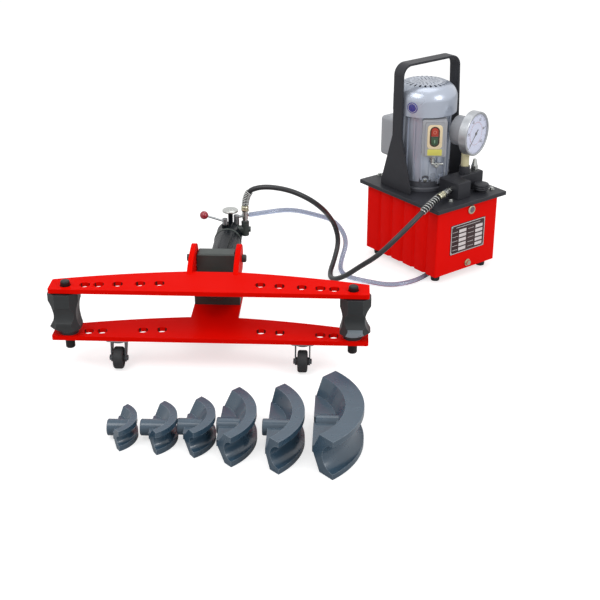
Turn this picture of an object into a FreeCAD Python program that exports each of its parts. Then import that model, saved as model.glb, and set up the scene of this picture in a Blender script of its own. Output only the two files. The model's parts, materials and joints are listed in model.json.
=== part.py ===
import FreeCAD, Part
import math
import os
from FreeCAD import Placement, Rotation, Vector

# Electric hydraulic pipe bender: an open bending frame with two wings, a ram and
# two turning rollers on castors, an electric pump on an oil tank, the pressure and
# return hoses between them, and six bending formers that lie in front.
# Millimetres, +Z up. X runs along the wings, Y from the operator to the rear.
# The shapes are modelled from the middle of the wings' front edge at floor level,
# then moved so that the origin is under the middle of the whole set on the floor.

# General clearances
OVERRUN = 5.0
RUNNING_GAP = 0.10
FIT_GAP = 0.05
SEAT_GAP = 0.30
HEX_CORNER_RATIO = math.sqrt(3)

# Wings
WING_HALF_LENGTH = 350.0
WING_THICKNESS = 10.0
WING_END_DEPTH = 54.0
WING_MID_DEPTH = 108.0
WING_MID_HALF_WIDTH = 60.0
WING_BULGE = 6.0
WING_CORNER_RADIUS = 5.0
LOWER_WING_UNDERSIDE = 71.0
WING_GAP = 104.0
TONGUE_HALF_WIDTH = 54.0
TONGUE_END = 250.0
TONGUE_RADIUS = 14.0

# Pin holes and roller pins
HOLE_PLACES = [111.0, 153.0, 202.0, 243.0, 273.0, 315.0]
HOLE_INNER_Y = 42.0
HOLE_OUTER_Y = 24.0
HOLES_BEFORE_BLANK_COUNT = 2
PIN_DIAMETER = 21.0
LOOSE_HOLE_DIAMETER = 24.0
PIN_ABOVE_WING = 11.5
PIN_BELOW_WING = 28.0
PIN_ROUNDING = 4.0

# Rollers
ROLLER_HEIGHT = 101.0
ROLLER_WIDTH = 68.0
ROLLER_DEPTH = 58.0
ROLLER_OFFSET = 5.0
ROLLER_FACE_WIDTH = 33.0
ROLLER_FOOT_RADIUS = 21.0
ROLLER_FOOT_HEIGHT = 8.0
ROLLER_CONE_HEIGHT = 19.0
ROLLER_CONE_RADIUS = 41.0
ROLLER_CAP_CHAMFER = 3.0
ROLLER_DEEP_RADIUS = 45.0
ROLLER_GROOVE_RADIUS = 80.0
ROLLER_SMALL_GROOVE_RADIUS = 34.0
ROLLER_SHALLOW_GROOVE = 6.0
ROLLER_DEEP_GROOVE = 13.0
ROLLER_FACET_FOOT = 20.0
ROLLER_FACET_HEIGHT = 24.0

# Ears and hinge of the upper wing
EAR_INNER = 46.0
EAR_OUTER = 58.0
EAR_FRONT = 95.0
EAR_END_RADIUS = 33.0
EAR_CREST_RISE = 7.0
HINGE_Y = 191.0
HINGE_Z = 193.0
HINGE_BOLT_RADIUS = 6.0
HINGE_HEAD_RADIUS = 9.0
HINGE_HEAD_LENGTH = 10.0
HINGE_HEAD_ROUNDING = 2.0

# Cylinder block
BLOCK_FRONT = 175.0
BLOCK_REAR = 212.5
BLOCK_HALF_WIDTH = 53.0
BLOCK_CROWN_GAP = 2.0
BLOCK_STEP_Z = 155.0
BLOCK_TOP_Z = 208.5
BLOCK_CHAMFER = 3.0
BLOCK_BOLT_RADIUS = 5.0
BLOCK_BOLT_DEPTH = 26.0
BLOCK_BOLT_HEAD_RADIUS = 8.0
BLOCK_BOLT_HEAD_HEIGHT = 6.0
BLOCK_BOLT_X = 39.0
BLOCK_BOLT_HALF_PITCH = 10.0

# Cylinder, ram and spring
RAM_Z = 133.0
BORE_RADIUS = 25.0
BARREL_RADIUS = 33.0
BARREL_REAR = 430.0
RING_RADIUS = 34.5
RING_LENGTH = 7.0
CAP_LENGTH = 53.0
CAP_ROUNDING = 6.0
GLAND_RADIUS = 31.0
GLAND_LENGTH = 25.0
GLAND_SPIGOT = 15.0
GLAND_CHAMFER = 3.0
GLAND_GROOVE = 2.0
ROD_RADIUS = 17.5
ROD_NECK = 4.0
NOSE_RADIUS = 12.5
NOSE_LENGTH = 24.0
NOSE_CHAMFER = 2.5
PISTON_LENGTH = 30.0
PISTON_FRONT = 398.0
PISTON_SEAL_DEPTH = 3.0
PISTON_SEAL_WIDTH = 6.0
STUB_RADIUS = 10.0
STUB_LENGTH = 20.0
SPRING_WALL_GAP = 0.6

# Fittings on the cylinder's rear cap
VALVE_X, VALVE_Y = -8.0, 455.0
VALVE_BOSS_RADIUS = 9.0
VALVE_BOSS_TOP = 170.0
VALVE_SPINDLE_RADIUS = 5.0
VALVE_SPINDLE_DEPTH = 18.0
VALVE_HEAD_RADIUS = 6.5
VALVE_HEAD_HEIGHT = 15.0
LEVER_RADIUS = 2.6
LEVER_BALL_RADIUS = 10.5
LEVER_BALL = (-58.0, 439.0, 200.0)
LEVER_DROP = 22.0
KNOB_X, KNOB_Y = 3.0, 485.0
KNOB_NECK_RADIUS = 6.0
KNOB_NECK_TOP = 188.0
KNOB_STEM_RADIUS = 3.5
KNOB_STEM_LENGTH = 14.0
KNOB_RADIUS = 20.0
KNOB_HEIGHT = 14.5
KNOB_EDGE = 5.0
KNOB_CROWN_RADIUS = 8.0
PORT_X, PORT_Y = 41.0, 475.0
PORT_RADIUS = 9.5
PORT_BOTTOM_Z = 133.0
PORT_TOP_Z = 172.0
PORT_HEX_ACROSS = 17.0
PORT_HEX_HEIGHT = 7.0
PORT_ARM_Z = 150.0
PORT_PLUG_RADIUS = 7.0
PORT_PLUG_LENGTH = 4.0
FERRULE_RADIUS = 7.0
FERRULE_NECK_RADIUS = 5.5
FERRULE_NECK = 5.0
RETURN_VALVE_X, RETURN_VALVE_Y = 18.0, 484.6
RETURN_VALVE_RADIUS = 7.0
RETURN_VALVE_TOP = 184.6
BARB_RADIUS = 3.8

# Castors
CASTOR_X = 205.0
CASTOR_Y = 26.0
REAR_CASTOR_Y = 225.0
CASTOR_PLATE = 50.0
CASTOR_PLATE_THICKNESS = 3.0
CASTOR_RACE_RADIUS = 17.0
CASTOR_RACE_HEIGHT = 3.0
KINGPIN_RADIUS = 5.0
KINGPIN_HEAD_RADIUS = 8.0
KINGPIN_HEAD_HEIGHT = 2.5
FORK_SHEET = 2.5
FORK_HALF_WIDTH = 17.0
FORK_CROWN_RADIUS = 19.0
FORK_FOOT_RADIUS = 9.0
CASTOR_TRAIL = 15.0
WHEEL_RADIUS = 25.0
WHEEL_WIDTH = 22.0
WHEEL_HUB_RADIUS = 9.0
WHEEL_DISH = 3.0
WHEEL_DISH_RADIUS = 17.0
TREAD_ROUNDING = 5.0
AXLE_RADIUS = 4.0
AXLE_NUT_RADIUS = 7.0
AXLE_NUT_LENGTH = 3.5

# Pump: place of the tank's near vertical edge, and its turn about Z
PUMP_X, PUMP_Y = 525.7, 483.6
PUMP_TURN_DEG = 40.0
TANK_WIDTH = 212.0
TANK_DEPTH = 272.0
TANK_BOTTOM = 19.0
TANK_TOP = 200.0
TANK_FLOOR = 3.0
TANK_WALL = 9.0
TANK_CORNER = 3.0
FLUTE_COUNT = 5
FLUTE_FIRST = 41.0
FLUTE_LAST_GAP = 51.0
FLUTE_DEPTH = 4.5
FLUTE_HALF_WIDTH = 7.0
FLUTE_FLAT = 1.5
FOOT_RADIUS = 13.0
FOOT_TAPER = 2.0
FOOT_INSET = 24.0
PLATE_THICKNESS = 10.0
PLATE_OVERHANG = 16.0
PLATE_CORNER = 4.0
SIGHT_A, SIGHT_Z = 116.0, 181.0
SIGHT_RADIUS = 12.0
SIGHT_DEPTH = 5.0
SIGHT_WINDOW_RADIUS = 7.5
SIGHT_WINDOW_DEPTH = 1.5
DRAIN_A, DRAIN_Z = 112.0, 35.0
DRAIN_FLANGE_RADIUS = 9.5
DRAIN_FLANGE_DEPTH = 3.0
DRAIN_ACROSS = 12.0
DRAIN_HEAD_DEPTH = 6.0

# Motor
MOTOR_A, MOTOR_B = 96.0, 167.0
ADAPTER_HEIGHT = 11.0
ADAPTER_RADIUS = 74.0
FLANGE_RADIUS = 68.0
FLANGE_HEIGHT = 15.0
BODY_RADIUS = 70.0
BODY_WALL = 12.0
BODY_TOP = 418.0
BODY_SHOULDER = 8.0
RIB_COUNT = 20
RIB_HALF_WIDTH = 2.2
RIB_HEIGHT = 3.0
RIB_TOP_GAP = 6.0
LUG_COUNT = 4
LUG_RADIUS = 11.0
LUG_HEIGHT = 14.0
LUG_BOLT_RADIUS = 4.0
LUG_BOLT_LENGTH = 8.0
COWL_RADIUS = 82.0
COWL_BOTTOM = 410.0
COWL_TOP = 484.0
COWL_DOME = 38.0
COWL_SHEET = 2.0
SLOT_COUNT = 24
SLOT_INNER_RADIUS = 42.0
SLOT_OUTER_RADIUS = 56.0
SLOT_WIDTH = 5.0
EAR_COUNT = 4
EAR_HALF_WIDTH = 6.0
EAR_HEIGHT = 8.0
ROTOR_RADIUS = 40.0
ROTOR_BOTTOM = 260.0
ROTOR_TOP = 380.0
SHAFT_RADIUS = 9.0
SHAFT_BOTTOM = 214.0
SHAFT_TOP = 462.0
FAN_RADIUS = 62.0
FAN_BOTTOM = 428.0
FAN_HUB_RADIUS = 16.0
FAN_HUB_HEIGHT = 18.0
FAN_PLATE = 2.5
FAN_BLADE_COUNT = 7
FAN_BLADE_HEIGHT = 15.0
FAN_BLADE_THICKNESS = 2.5
CAPACITOR_BOTTOM = 262.0
CAPACITOR_HEIGHT = 107.0
CAPACITOR_HALF_WIDTH = 33.0
CAPACITOR_REACH = 134.0
CAPACITOR_ROUNDING = 10.0

# Switch box and buttons, set out from the motor's axis and turned about it
SWITCH_SHIFT = 20.0
SWITCH_REACH = 85.0
SWITCH_TURN_DEG = -38.0
SWITCH_HALF_WIDTH = 31.0
SWITCH_BOTTOM = 309.0
SWITCH_TOP = 406.0
SWITCH_ROUNDING = 6.0
SWITCH_PANEL_DEPTH = 3.0
SWITCH_PANEL_INSET = 7.0
BUTTON_HALF_WIDTH = 9.0
BUTTON_HEIGHT = 22.0
BUTTON_LENGTH = 10.0
BUTTON_PROUD = 3.0
BUTTON_TRAVEL = 3.0
BUTTON_PAIR_Z = 363.0
BUTTON_PAIR_GAP = 2.0
BUTTON_ROUNDING = 2.0
WELL_DEPTH = 5.0

# Carrying handle
HANDLE_B = 170.0
HANDLE_LEFT_FOOT, HANDLE_RIGHT_FOOT = 5.0, 216.0
HANDLE_LEFT_TOP, HANDLE_RIGHT_TOP = 3.0, 201.0
HANDLE_TOP = 540.0
HANDLE_HALF_WIDTH = 16.5
HANDLE_THICKNESS = 6.0
HANDLE_CORNER = 30.0
GUSSET_HALF_WIDTH = 56.0
GUSSET_TOP = 354.0

# Valve block and what stands on it
MANIFOLD_TOP = 254.0
MANIFOLD_LEFT, MANIFOLD_STEP, MANIFOLD_RIGHT = 78.0, 122.0, 204.0
MANIFOLD_FRONT, MANIFOLD_STEP_B, MANIFOLD_REAR = 12.0, 50.0, 82.0
MANIFOLD_CHAMFER = 2.0
RELIEF_A, RELIEF_B = 188.0, 67.0
RELIEF_ACROSS = 16.0
RELIEF_HEX_HEIGHT = 12.0
RELIEF_SCREW_RADIUS = 4.0
RELIEF_HEIGHT = 30.0
FILLER_A, FILLER_B = 173.0, 24.0
FILLER_RADIUS = 20.0
FILLER_NECK_RADIUS = 14.0
FILLER_NECK_HEIGHT = 6.0
FILLER_HEIGHT = 22.0
FILLER_RIDGE = 2.0
FILLER_RIDGES = 3

# Pressure gauge, turned a little about its own stem
GAUGE_A, GAUGE_B, GAUGE_Z = 151.0, 66.0, 364.0
GAUGE_TURN_DEG = 14.0
GAUGE_BEZEL_RADIUS = 56.5
GAUGE_FACE_RADIUS = 52.5
GAUGE_FRONT = -30.0
GAUGE_BEZEL_REAR = -9.0
GAUGE_CASE_RADIUS = 38.0
GAUGE_CASE_REAR = 30.0
GAUGE_STEP_RADIUS = 47.0
GAUGE_STEP_REAR = -2.0
GAUGE_RECESS = 7.0
DIAL_THICKNESS = 1.2
NEEDLE_LENGTH = 39.0
NEEDLE_TAIL = 11.0
NEEDLE_HALF_WIDTH = 1.6
NEEDLE_THICKNESS = 1.0
NEEDLE_HUB_RADIUS = 4.0
NEEDLE_HUB_LENGTH = 2.6
NEEDLE_REST_DEG = 45.0
STEM_COLLAR_RADIUS = 13.0
STEM_COLLAR_HEIGHT = 20.0
STEM_RADIUS = 10.5

# Pump unit inside the tank
UNIT_RADIUS = 45.0
UNIT_BOTTOM = 60.0
COUPLING_RADIUS = 14.0
SUCTION_RADIUS = 8.0
SUCTION_BOTTOM = 32.0

# Hoses. Each route is the line of the hose's middle from fitting to fitting.
PRESSURE_HOSE_RADIUS = 6.5
RETURN_HOSE_RADIUS = 6.0
ARC_SHARE = 0.45
PRESSURE_ROUTE = [
    (41, 475, 198), (41, 475, 248), (84, 464, 270), (150, 460, 264), (204, 474, 234),
    (236, 510, 194), (250, 556, 158), (266, 594, 118), (277, 600, 70), (266, 566, 30),
    (254, 524, 9), (262, 482, 10), (294, 446, 36), (328, 418, 82), (366, 400, 128),
    (414, 402, 180), (462, 436, 212), (508, 485, 224), (541, 534, 230),
]
RETURN_ROUTE = [
    (50, 487, 184), (92, 492, 190), (154, 532, 184), (216, 582, 150), (268, 622, 118),
    (300, 620, 64), (284, 590, 20), (281, 548, 7), (302, 506, 8), (350, 484, 7),
    (406, 462, 7), (452, 476, 7), (492, 506, 8), (520, 545, 9.5),
]
RETURN_ELBOW_RADIUS = 5.0
RETURN_ELBOW_REACH = 16.0

# Spring guards on the pressure hose
GUARD_WIRE_RADIUS = 1.1
GUARD_HOSE_GAP = 0.5
GUARD_PITCH = 4.6
CYLINDER_GUARD_TURNS = 5
PUMP_GUARD_TURNS = 6
CRIMP_RADIUS = 8.5
CRIMP_LENGTH = 20.0
CRIMP_STEP = 1.5

# Formers: pipe size, chord between the tips, rise of the arc, lip width, depth of the
# ridge behind the lips, depth from the arc's crown to the end of the socket, crown
FORMER_LIP_HEIGHT = 12.0
FORMER_TABLE = [
    (21.3, 109.0, 28.0, 13.0, 13.0, 60.0, (-115.7, -279.3)),
    (26.9, 126.0, 34.0, 15.0, 20.0, 74.0, (-34.1, -281.3)),
    (33.7, 143.0, 36.0, 17.0, 25.0, 76.5, (42.8, -280.4)),
    (42.4, 199.0, 43.0, 21.0, 25.0, 80.0, (125.6, -281.2)),
    (48.3, 228.0, 46.0, 25.0, 13.0, 84.5, (222.0, -287.9)),
    (60.3, 280.0, 60.0, 38.0, 21.0, 97.0, (339.9, -276.5)),
]
FORMER_WEB = 14.0
FORMER_SOCKET_RADIUS = 17.0
FORMER_SOCKET_DEPTH = 22.0
FORMER_SOCKET_GAP = 0.2

# Levels worked out from the sizes above
LOWER_WING_TOP = LOWER_WING_UNDERSIDE + WING_THICKNESS
UPPER_WING_UNDERSIDE = LOWER_WING_TOP + WING_GAP
UPPER_WING_TOP = UPPER_WING_UNDERSIDE + WING_THICKNESS
PLATE_TOP = TANK_TOP + PLATE_THICKNESS
CAP_FRONT = BARREL_REAR + RING_LENGTH
CAP_REAR = CAP_FRONT + CAP_LENGTH
FLUTE_PITCH = (TANK_DEPTH - FLUTE_FIRST - FLUTE_LAST_GAP) / (FLUTE_COUNT - 1)
SWITCH_A, SWITCH_FRONT = MOTOR_A + SWITCH_SHIFT, MOTOR_B - SWITCH_REACH
X_AXIS, Y_AXIS, Z_AXIS = Vector(1, 0, 0), Vector(0, 1, 0), Vector(0, 0, 1)


def cylinder(radius, length, base, axis=Z_AXIS):
    """Return a round bar from its base point along an axis."""
    return Part.makeCylinder(radius, length, Vector(*base), axis)


def block(low, high):
    """Return a box between two opposite corners."""
    size = [top - bottom for bottom, top in zip(low, high)]
    return Part.makeBox(*size, Vector(*low))


def loop(points):
    """Return a closed wire; a point marked "via" is the middle of an arc to the next."""
    edges = []
    last = points[0]
    index = 1
    closed = points + [points[0]]
    while index < len(closed):
        if closed[index][0] == "via":
            middle, end = closed[index][1], closed[index + 1]
            edges.append(Part.Arc(Vector(*last), Vector(*middle), Vector(*end)).toShape())
            index += 2
        else:
            end = closed[index]
            edges.append(Part.LineSegment(Vector(*last), Vector(*end)).toShape())
            index += 1
        last = end
    return Part.Wire(edges)


def slab(points, thickness_vector):
    """Return the solid that a closed outline sweeps along a vector."""
    return Part.Face(loop(points)).extrude(thickness_vector)


def turned(profile, base=(0, 0, 0), axis=Z_AXIS):
    """Revolve (radius, height) points about Z, then stand the result on base along axis."""
    face = Part.Face(loop([(r, 0, h) if r != "via" else ("via", (h[0], 0, h[1])) for r, h in profile]))
    solid = face.revolve(Vector(0, 0, 0), Z_AXIS, 360)
    solid.Placement = Placement(Vector(*base), Rotation(Z_AXIS, axis))
    return solid


def joined(shapes):
    """Fuse a list of shapes into one clean solid."""
    result = shapes[0]
    if len(shapes) > 1:
        result = shapes[0].fuse(shapes[1:])
    return result.removeSplitter()


def largest(shape):
    """Return the largest solid of a shape, leaving slivers behind."""
    return max(shape.Solids, key=lambda solid: solid.Volume)


def ring_of(shape, count, centre, first_deg=0.0):
    """Return copies of a shape evenly spaced about a vertical axis."""
    copies = []
    for index in range(count):
        copy = shape.copy()
        copy.rotate(Vector(*centre), Z_AXIS, first_deg + 360.0 * index / count)
        copies.append(copy)
    return copies


def vertical_edges(shape):
    """Return the straight edges of a shape that run along Z."""
    found = []
    for edge in shape.Edges:
        if isinstance(edge.Curve, Part.Line) and abs(edge.tangentAt(edge.FirstParameter).z) > 0.999:
            found.append(edge)
    return found


def flat_edges_at(shape, level):
    """Return the edges of a shape that lie level at one height."""
    box_of = [(edge, edge.BoundBox) for edge in shape.Edges]
    return [edge for edge, box in box_of if abs(box.ZMin - level) < RUNNING_GAP and abs(box.ZMax - level) < RUNNING_GAP]


def hexagon(across, height, base, axis=Z_AXIS):
    """Return a hexagonal bar, its size measured across flats."""
    radius = across / HEX_CORNER_RATIO
    corners = [(radius * math.cos(math.pi * k / 3), radius * math.sin(math.pi * k / 3), 0) for k in range(6)]
    bar = slab(corners, Vector(0, 0, height))
    bar.Placement = Placement(Vector(*base), Rotation(Z_AXIS, axis))
    return bar


# Bending frame


def hole_y(x):
    """Return how far behind the front edge a pin hole lies."""
    share = (abs(x) - HOLE_PLACES[0]) / (HOLE_PLACES[-1] - HOLE_PLACES[0])
    return HOLE_INNER_Y + (HOLE_OUTER_Y - HOLE_INNER_Y) * share


def wing_outline(level):
    """Return the outline of a wing: straight in front, bowed behind, blunt at the ends."""
    half, mid = WING_HALF_LENGTH, WING_MID_HALF_WIDTH
    bow_x = (half + mid) / 2
    bow_y = (WING_END_DEPTH + WING_MID_DEPTH) / 2 + WING_BULGE
    return [
        (-half, 0, level), (half, 0, level), (half, WING_END_DEPTH, level),
        ("via", (bow_x, bow_y, level)), (mid, WING_MID_DEPTH, level),
        (-mid, WING_MID_DEPTH, level),
        ("via", (-bow_x, bow_y, level)), (-half, WING_END_DEPTH, level),
    ]


def wing_plate(level, diameters):
    """Return a drilled wing plate. diameters holds one hole size per place, 0 for none."""
    plate = slab(wing_outline(level), Vector(0, 0, WING_THICKNESS))
    corners = [edge for edge in vertical_edges(plate) if abs(edge.Vertexes[0].X) > WING_MID_HALF_WIDTH + 1]
    plate = plate.makeFillet(WING_CORNER_RADIUS, corners)
    for place, diameter in zip(HOLE_PLACES, diameters):
        for x in (-place, place):
            if diameter > 0:
                base = (x, hole_y(x), level - OVERRUN)
                plate = plate.cut(cylinder(diameter / 2, WING_THICKNESS + 2 * OVERRUN, base))
    return plate


def bolt_places():
    """Return the four places of the bolts that hold the cylinder block."""
    middle = (BLOCK_FRONT + BLOCK_REAR) / 2
    offsets = (-BLOCK_BOLT_HALF_PITCH, BLOCK_BOLT_HALF_PITCH)
    return [(x, middle + dy) for x in (-BLOCK_BOLT_X, BLOCK_BOLT_X) for dy in offsets]


def lower_wing():
    """Return the lower wing with the tongue that carries the cylinder block."""
    tight = PIN_DIAMETER + 2 * FIT_GAP
    sizes = [LOOSE_HOLE_DIAMETER] * (len(HOLE_PLACES) - 1) + [tight]
    sizes[HOLES_BEFORE_BLANK_COUNT] = 0
    plate = wing_plate(LOWER_WING_UNDERSIDE, sizes)
    low = (-TONGUE_HALF_WIDTH, WING_MID_DEPTH - OVERRUN, LOWER_WING_UNDERSIDE)
    tongue = block(low, (TONGUE_HALF_WIDTH, TONGUE_END, LOWER_WING_TOP))
    rear = [edge for edge in vertical_edges(tongue) if edge.Vertexes[0].Y > WING_MID_DEPTH + 1]
    tongue = tongue.makeFillet(TONGUE_RADIUS, rear)
    plate = joined([plate, tongue])
    for x, y in bolt_places():
        hole = cylinder(BLOCK_BOLT_RADIUS + FIT_GAP, WING_THICKNESS + 2 * OVERRUN, (x, y, LOWER_WING_UNDERSIDE - OVERRUN))
        plate = plate.cut(hole)
    return plate


def upper_wing():
    """Return the upper wing plate, which lifts about the hinge behind it."""
    plate = wing_plate(UPPER_WING_UNDERSIDE, [LOOSE_HOLE_DIAMETER] * len(HOLE_PLACES))
    for side in (-1, 1):
        low = sorted((side * (EAR_INNER - FIT_GAP), side * (EAR_OUTER + FIT_GAP)))
        slot = block((low[0], EAR_FRONT - FIT_GAP, UPPER_WING_UNDERSIDE - OVERRUN),
                     (low[1], WING_MID_DEPTH + OVERRUN, UPPER_WING_TOP + OVERRUN))
        plate = plate.cut(slot)
    return plate


def wing_ears():
    """Return the two ear plates, let into slots in the upper wing, that carry its hinge."""
    top = HINGE_Z + EAR_END_RADIUS
    lean = math.radians(45)
    mid_y = (EAR_FRONT + HINGE_Y) / 2
    mid_z = (UPPER_WING_TOP + top) / 2 + EAR_CREST_RISE
    rear_y, low_z = HINGE_Y + EAR_END_RADIUS, HINGE_Z - EAR_END_RADIUS
    elbow_y = HINGE_Y - EAR_END_RADIUS * math.sin(lean)
    elbow_z = HINGE_Z - EAR_END_RADIUS * math.cos(lean)
    ears = []
    for x in (-EAR_OUTER, EAR_INNER):
        outline = [
            (x, EAR_FRONT, UPPER_WING_UNDERSIDE), (x, EAR_FRONT, UPPER_WING_TOP),
            ("via", (x, mid_y, mid_z)), (x, HINGE_Y, top),
            ("via", (x, rear_y, HINGE_Z)), (x, HINGE_Y, low_z),
            ("via", (x, HINGE_Y - EAR_END_RADIUS * math.sin(lean / 2), HINGE_Z - EAR_END_RADIUS * math.cos(lean / 2))),
            (x, elbow_y, elbow_z), (x, WING_MID_DEPTH + WING_THICKNESS, UPPER_WING_UNDERSIDE),
        ]
        ear = slab(outline, Vector(EAR_OUTER - EAR_INNER, 0, 0))
        hole = cylinder(HINGE_BOLT_RADIUS + RUNNING_GAP, EAR_OUTER, (x - OVERRUN, HINGE_Y, HINGE_Z), X_AXIS)
        ears.append(ear.cut(hole))
    return Part.makeCompound(ears)


def hinge_bolt():
    """Return the bolt and nut that the upper wing turns on."""
    reach = EAR_OUTER + SEAT_GAP
    profile = [
        (0, -reach), (HINGE_BOLT_RADIUS, -reach), (HINGE_BOLT_RADIUS, reach), (HINGE_HEAD_RADIUS, reach),
        (HINGE_HEAD_RADIUS, reach + HINGE_HEAD_LENGTH - HINGE_HEAD_ROUNDING),
        (HINGE_HEAD_RADIUS - HINGE_HEAD_ROUNDING, reach + HINGE_HEAD_LENGTH), (0, reach + HINGE_HEAD_LENGTH),
    ]
    bolt = turned(profile, (0, HINGE_Y, HINGE_Z), X_AXIS)
    across = HINGE_HEAD_RADIUS * HEX_CORNER_RATIO
    nut = hexagon(across, HINGE_HEAD_LENGTH, (-reach - HINGE_HEAD_LENGTH, HINGE_Y, HINGE_Z), X_AXIS)
    return joined([bolt, nut])


def cylinder_block():
    """Return the steel block that the cylinder, the hinge bolt and the tongue meet in."""
    half_top = EAR_INNER - BLOCK_CROWN_GAP
    low = (-BLOCK_HALF_WIDTH, BLOCK_FRONT, LOWER_WING_TOP)
    base = block(low, (BLOCK_HALF_WIDTH, BLOCK_REAR, BLOCK_STEP_Z))
    crown = block((-half_top, BLOCK_FRONT, BLOCK_STEP_Z), (half_top, BLOCK_REAR, BLOCK_TOP_Z))
    body = joined([base, crown])
    body = body.makeChamfer(BLOCK_CHAMFER, flat_edges_at(body, BLOCK_TOP_Z))
    body = body.cut(cylinder(BORE_RADIUS, WING_MID_DEPTH, (0, BLOCK_FRONT - OVERRUN, RAM_Z), Y_AXIS))
    body = body.cut(cylinder(HINGE_BOLT_RADIUS + FIT_GAP, 2 * EAR_OUTER, (-EAR_OUTER, HINGE_Y, HINGE_Z), X_AXIS))
    for x, y in bolt_places():
        hole = cylinder(BLOCK_BOLT_RADIUS + FIT_GAP, BLOCK_BOLT_DEPTH + OVERRUN, (x, y, LOWER_WING_TOP - OVERRUN))
        body = body.cut(hole)
    return body


def block_bolts():
    """Return the four bolts that hold the block down from under the tongue."""
    bolts = []
    for x, y in bolt_places():
        shank_length = WING_THICKNESS + BLOCK_BOLT_DEPTH - SEAT_GAP
        shank = cylinder(BLOCK_BOLT_RADIUS, shank_length, (x, y, LOWER_WING_UNDERSIDE))
        head_base = (x, y, LOWER_WING_UNDERSIDE - BLOCK_BOLT_HEAD_HEIGHT)
        head = hexagon(BLOCK_BOLT_HEAD_RADIUS * HEX_CORNER_RATIO, BLOCK_BOLT_HEAD_HEIGHT, head_base)
        bolts.append(joined([shank, head]))
    return bolts


def cylinder_barrel():
    """Return the honed tube that the piston runs in."""
    length = BARREL_REAR - BLOCK_REAR
    outer = cylinder(BARREL_RADIUS, length, (0, BLOCK_REAR, RAM_Z), Y_AXIS)
    bore = cylinder(BORE_RADIUS, length + 2 * OVERRUN, (0, BLOCK_REAR - OVERRUN, RAM_Z), Y_AXIS)
    return outer.cut(bore)


def cylinder_end_ring():
    """Return the lock ring between the barrel and its cap."""
    edge = RING_LENGTH / 5
    profile = [
        (BORE_RADIUS, 0), (RING_RADIUS - edge, 0), (RING_RADIUS, edge),
        (RING_RADIUS, RING_LENGTH - edge), (RING_RADIUS - edge, RING_LENGTH), (BORE_RADIUS, RING_LENGTH),
    ]
    return turned(profile, (0, BARREL_REAR, RAM_Z), Y_AXIS)


def cylinder_end_cap():
    """Return the rear cap with the bosses that the release valve and the bleed knob turn in."""
    rounding = CAP_ROUNDING
    profile = [
        (0, 0), (BARREL_RADIUS, 0), (BARREL_RADIUS, CAP_LENGTH - rounding),
        ("via", (BARREL_RADIUS - rounding * (1 - math.sqrt(0.5)), CAP_LENGTH - rounding * (1 - math.sqrt(0.5)))),
        (BARREL_RADIUS - rounding, CAP_LENGTH), (0, CAP_LENGTH),
    ]
    cap = turned(profile, (0, CAP_FRONT, RAM_Z), Y_AXIS)
    boss = cylinder(VALVE_BOSS_RADIUS, VALVE_BOSS_TOP - RAM_Z, (VALVE_X, VALVE_Y, RAM_Z))
    neck_root = RAM_Z + BARREL_RADIUS / 2
    neck = cylinder(KNOB_NECK_RADIUS, KNOB_NECK_TOP - neck_root, (KNOB_X, KNOB_Y, neck_root))
    cap = joined([cap, boss, neck])
    inside = block((-BARREL_RADIUS, CAP_FRONT, RAM_Z - BARREL_RADIUS), (BARREL_RADIUS, CAP_REAR, KNOB_NECK_TOP))
    cap = cap.common(inside)
    valve_seat = VALVE_BOSS_TOP - VALVE_SPINDLE_DEPTH - SEAT_GAP
    cap = cap.cut(cylinder(VALVE_SPINDLE_RADIUS + RUNNING_GAP, VALVE_SPINDLE_DEPTH + OVERRUN, (VALVE_X, VALVE_Y, valve_seat)))
    knob_seat = KNOB_NECK_TOP - KNOB_STEM_LENGTH - SEAT_GAP
    return cap.cut(cylinder(KNOB_STEM_RADIUS + RUNNING_GAP, KNOB_STEM_LENGTH + OVERRUN, (KNOB_X, KNOB_Y, knob_seat)))


def cylinder_gland():
    """Return the gland that guides the ram at the block's front."""
    hole = ROD_RADIUS + FIT_GAP
    front = -GLAND_LENGTH
    middle = front + GLAND_LENGTH / 2
    profile = [
        (hole, front), (GLAND_RADIUS - GLAND_CHAMFER, front), (GLAND_RADIUS, front + GLAND_CHAMFER),
        (GLAND_RADIUS, middle - GLAND_GROOVE), (GLAND_RADIUS - GLAND_GROOVE, middle),
        (GLAND_RADIUS, middle + GLAND_GROOVE), (GLAND_RADIUS, 0), (BORE_RADIUS - FIT_GAP, 0),
        (BORE_RADIUS - FIT_GAP, GLAND_SPIGOT), (hole, GLAND_SPIGOT),
    ]
    return turned(profile, (0, BLOCK_FRONT, RAM_Z), Y_AXIS)


def ram_rod():
    """Return the ram with its nose for the formers' sockets and its stub for the piston."""
    nose_rear = BLOCK_FRONT - GLAND_LENGTH - ROD_NECK
    nose_front = nose_rear - NOSE_LENGTH
    profile = [
        (0, nose_front), (NOSE_RADIUS - NOSE_CHAMFER, nose_front), (NOSE_RADIUS, nose_front + NOSE_CHAMFER),
        (NOSE_RADIUS, nose_rear), (ROD_RADIUS, nose_rear), (ROD_RADIUS, PISTON_FRONT),
        (STUB_RADIUS, PISTON_FRONT), (STUB_RADIUS, PISTON_FRONT + STUB_LENGTH), (0, PISTON_FRONT + STUB_LENGTH),
    ]
    return turned(profile, (0, 0, RAM_Z), Y_AXIS)


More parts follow.
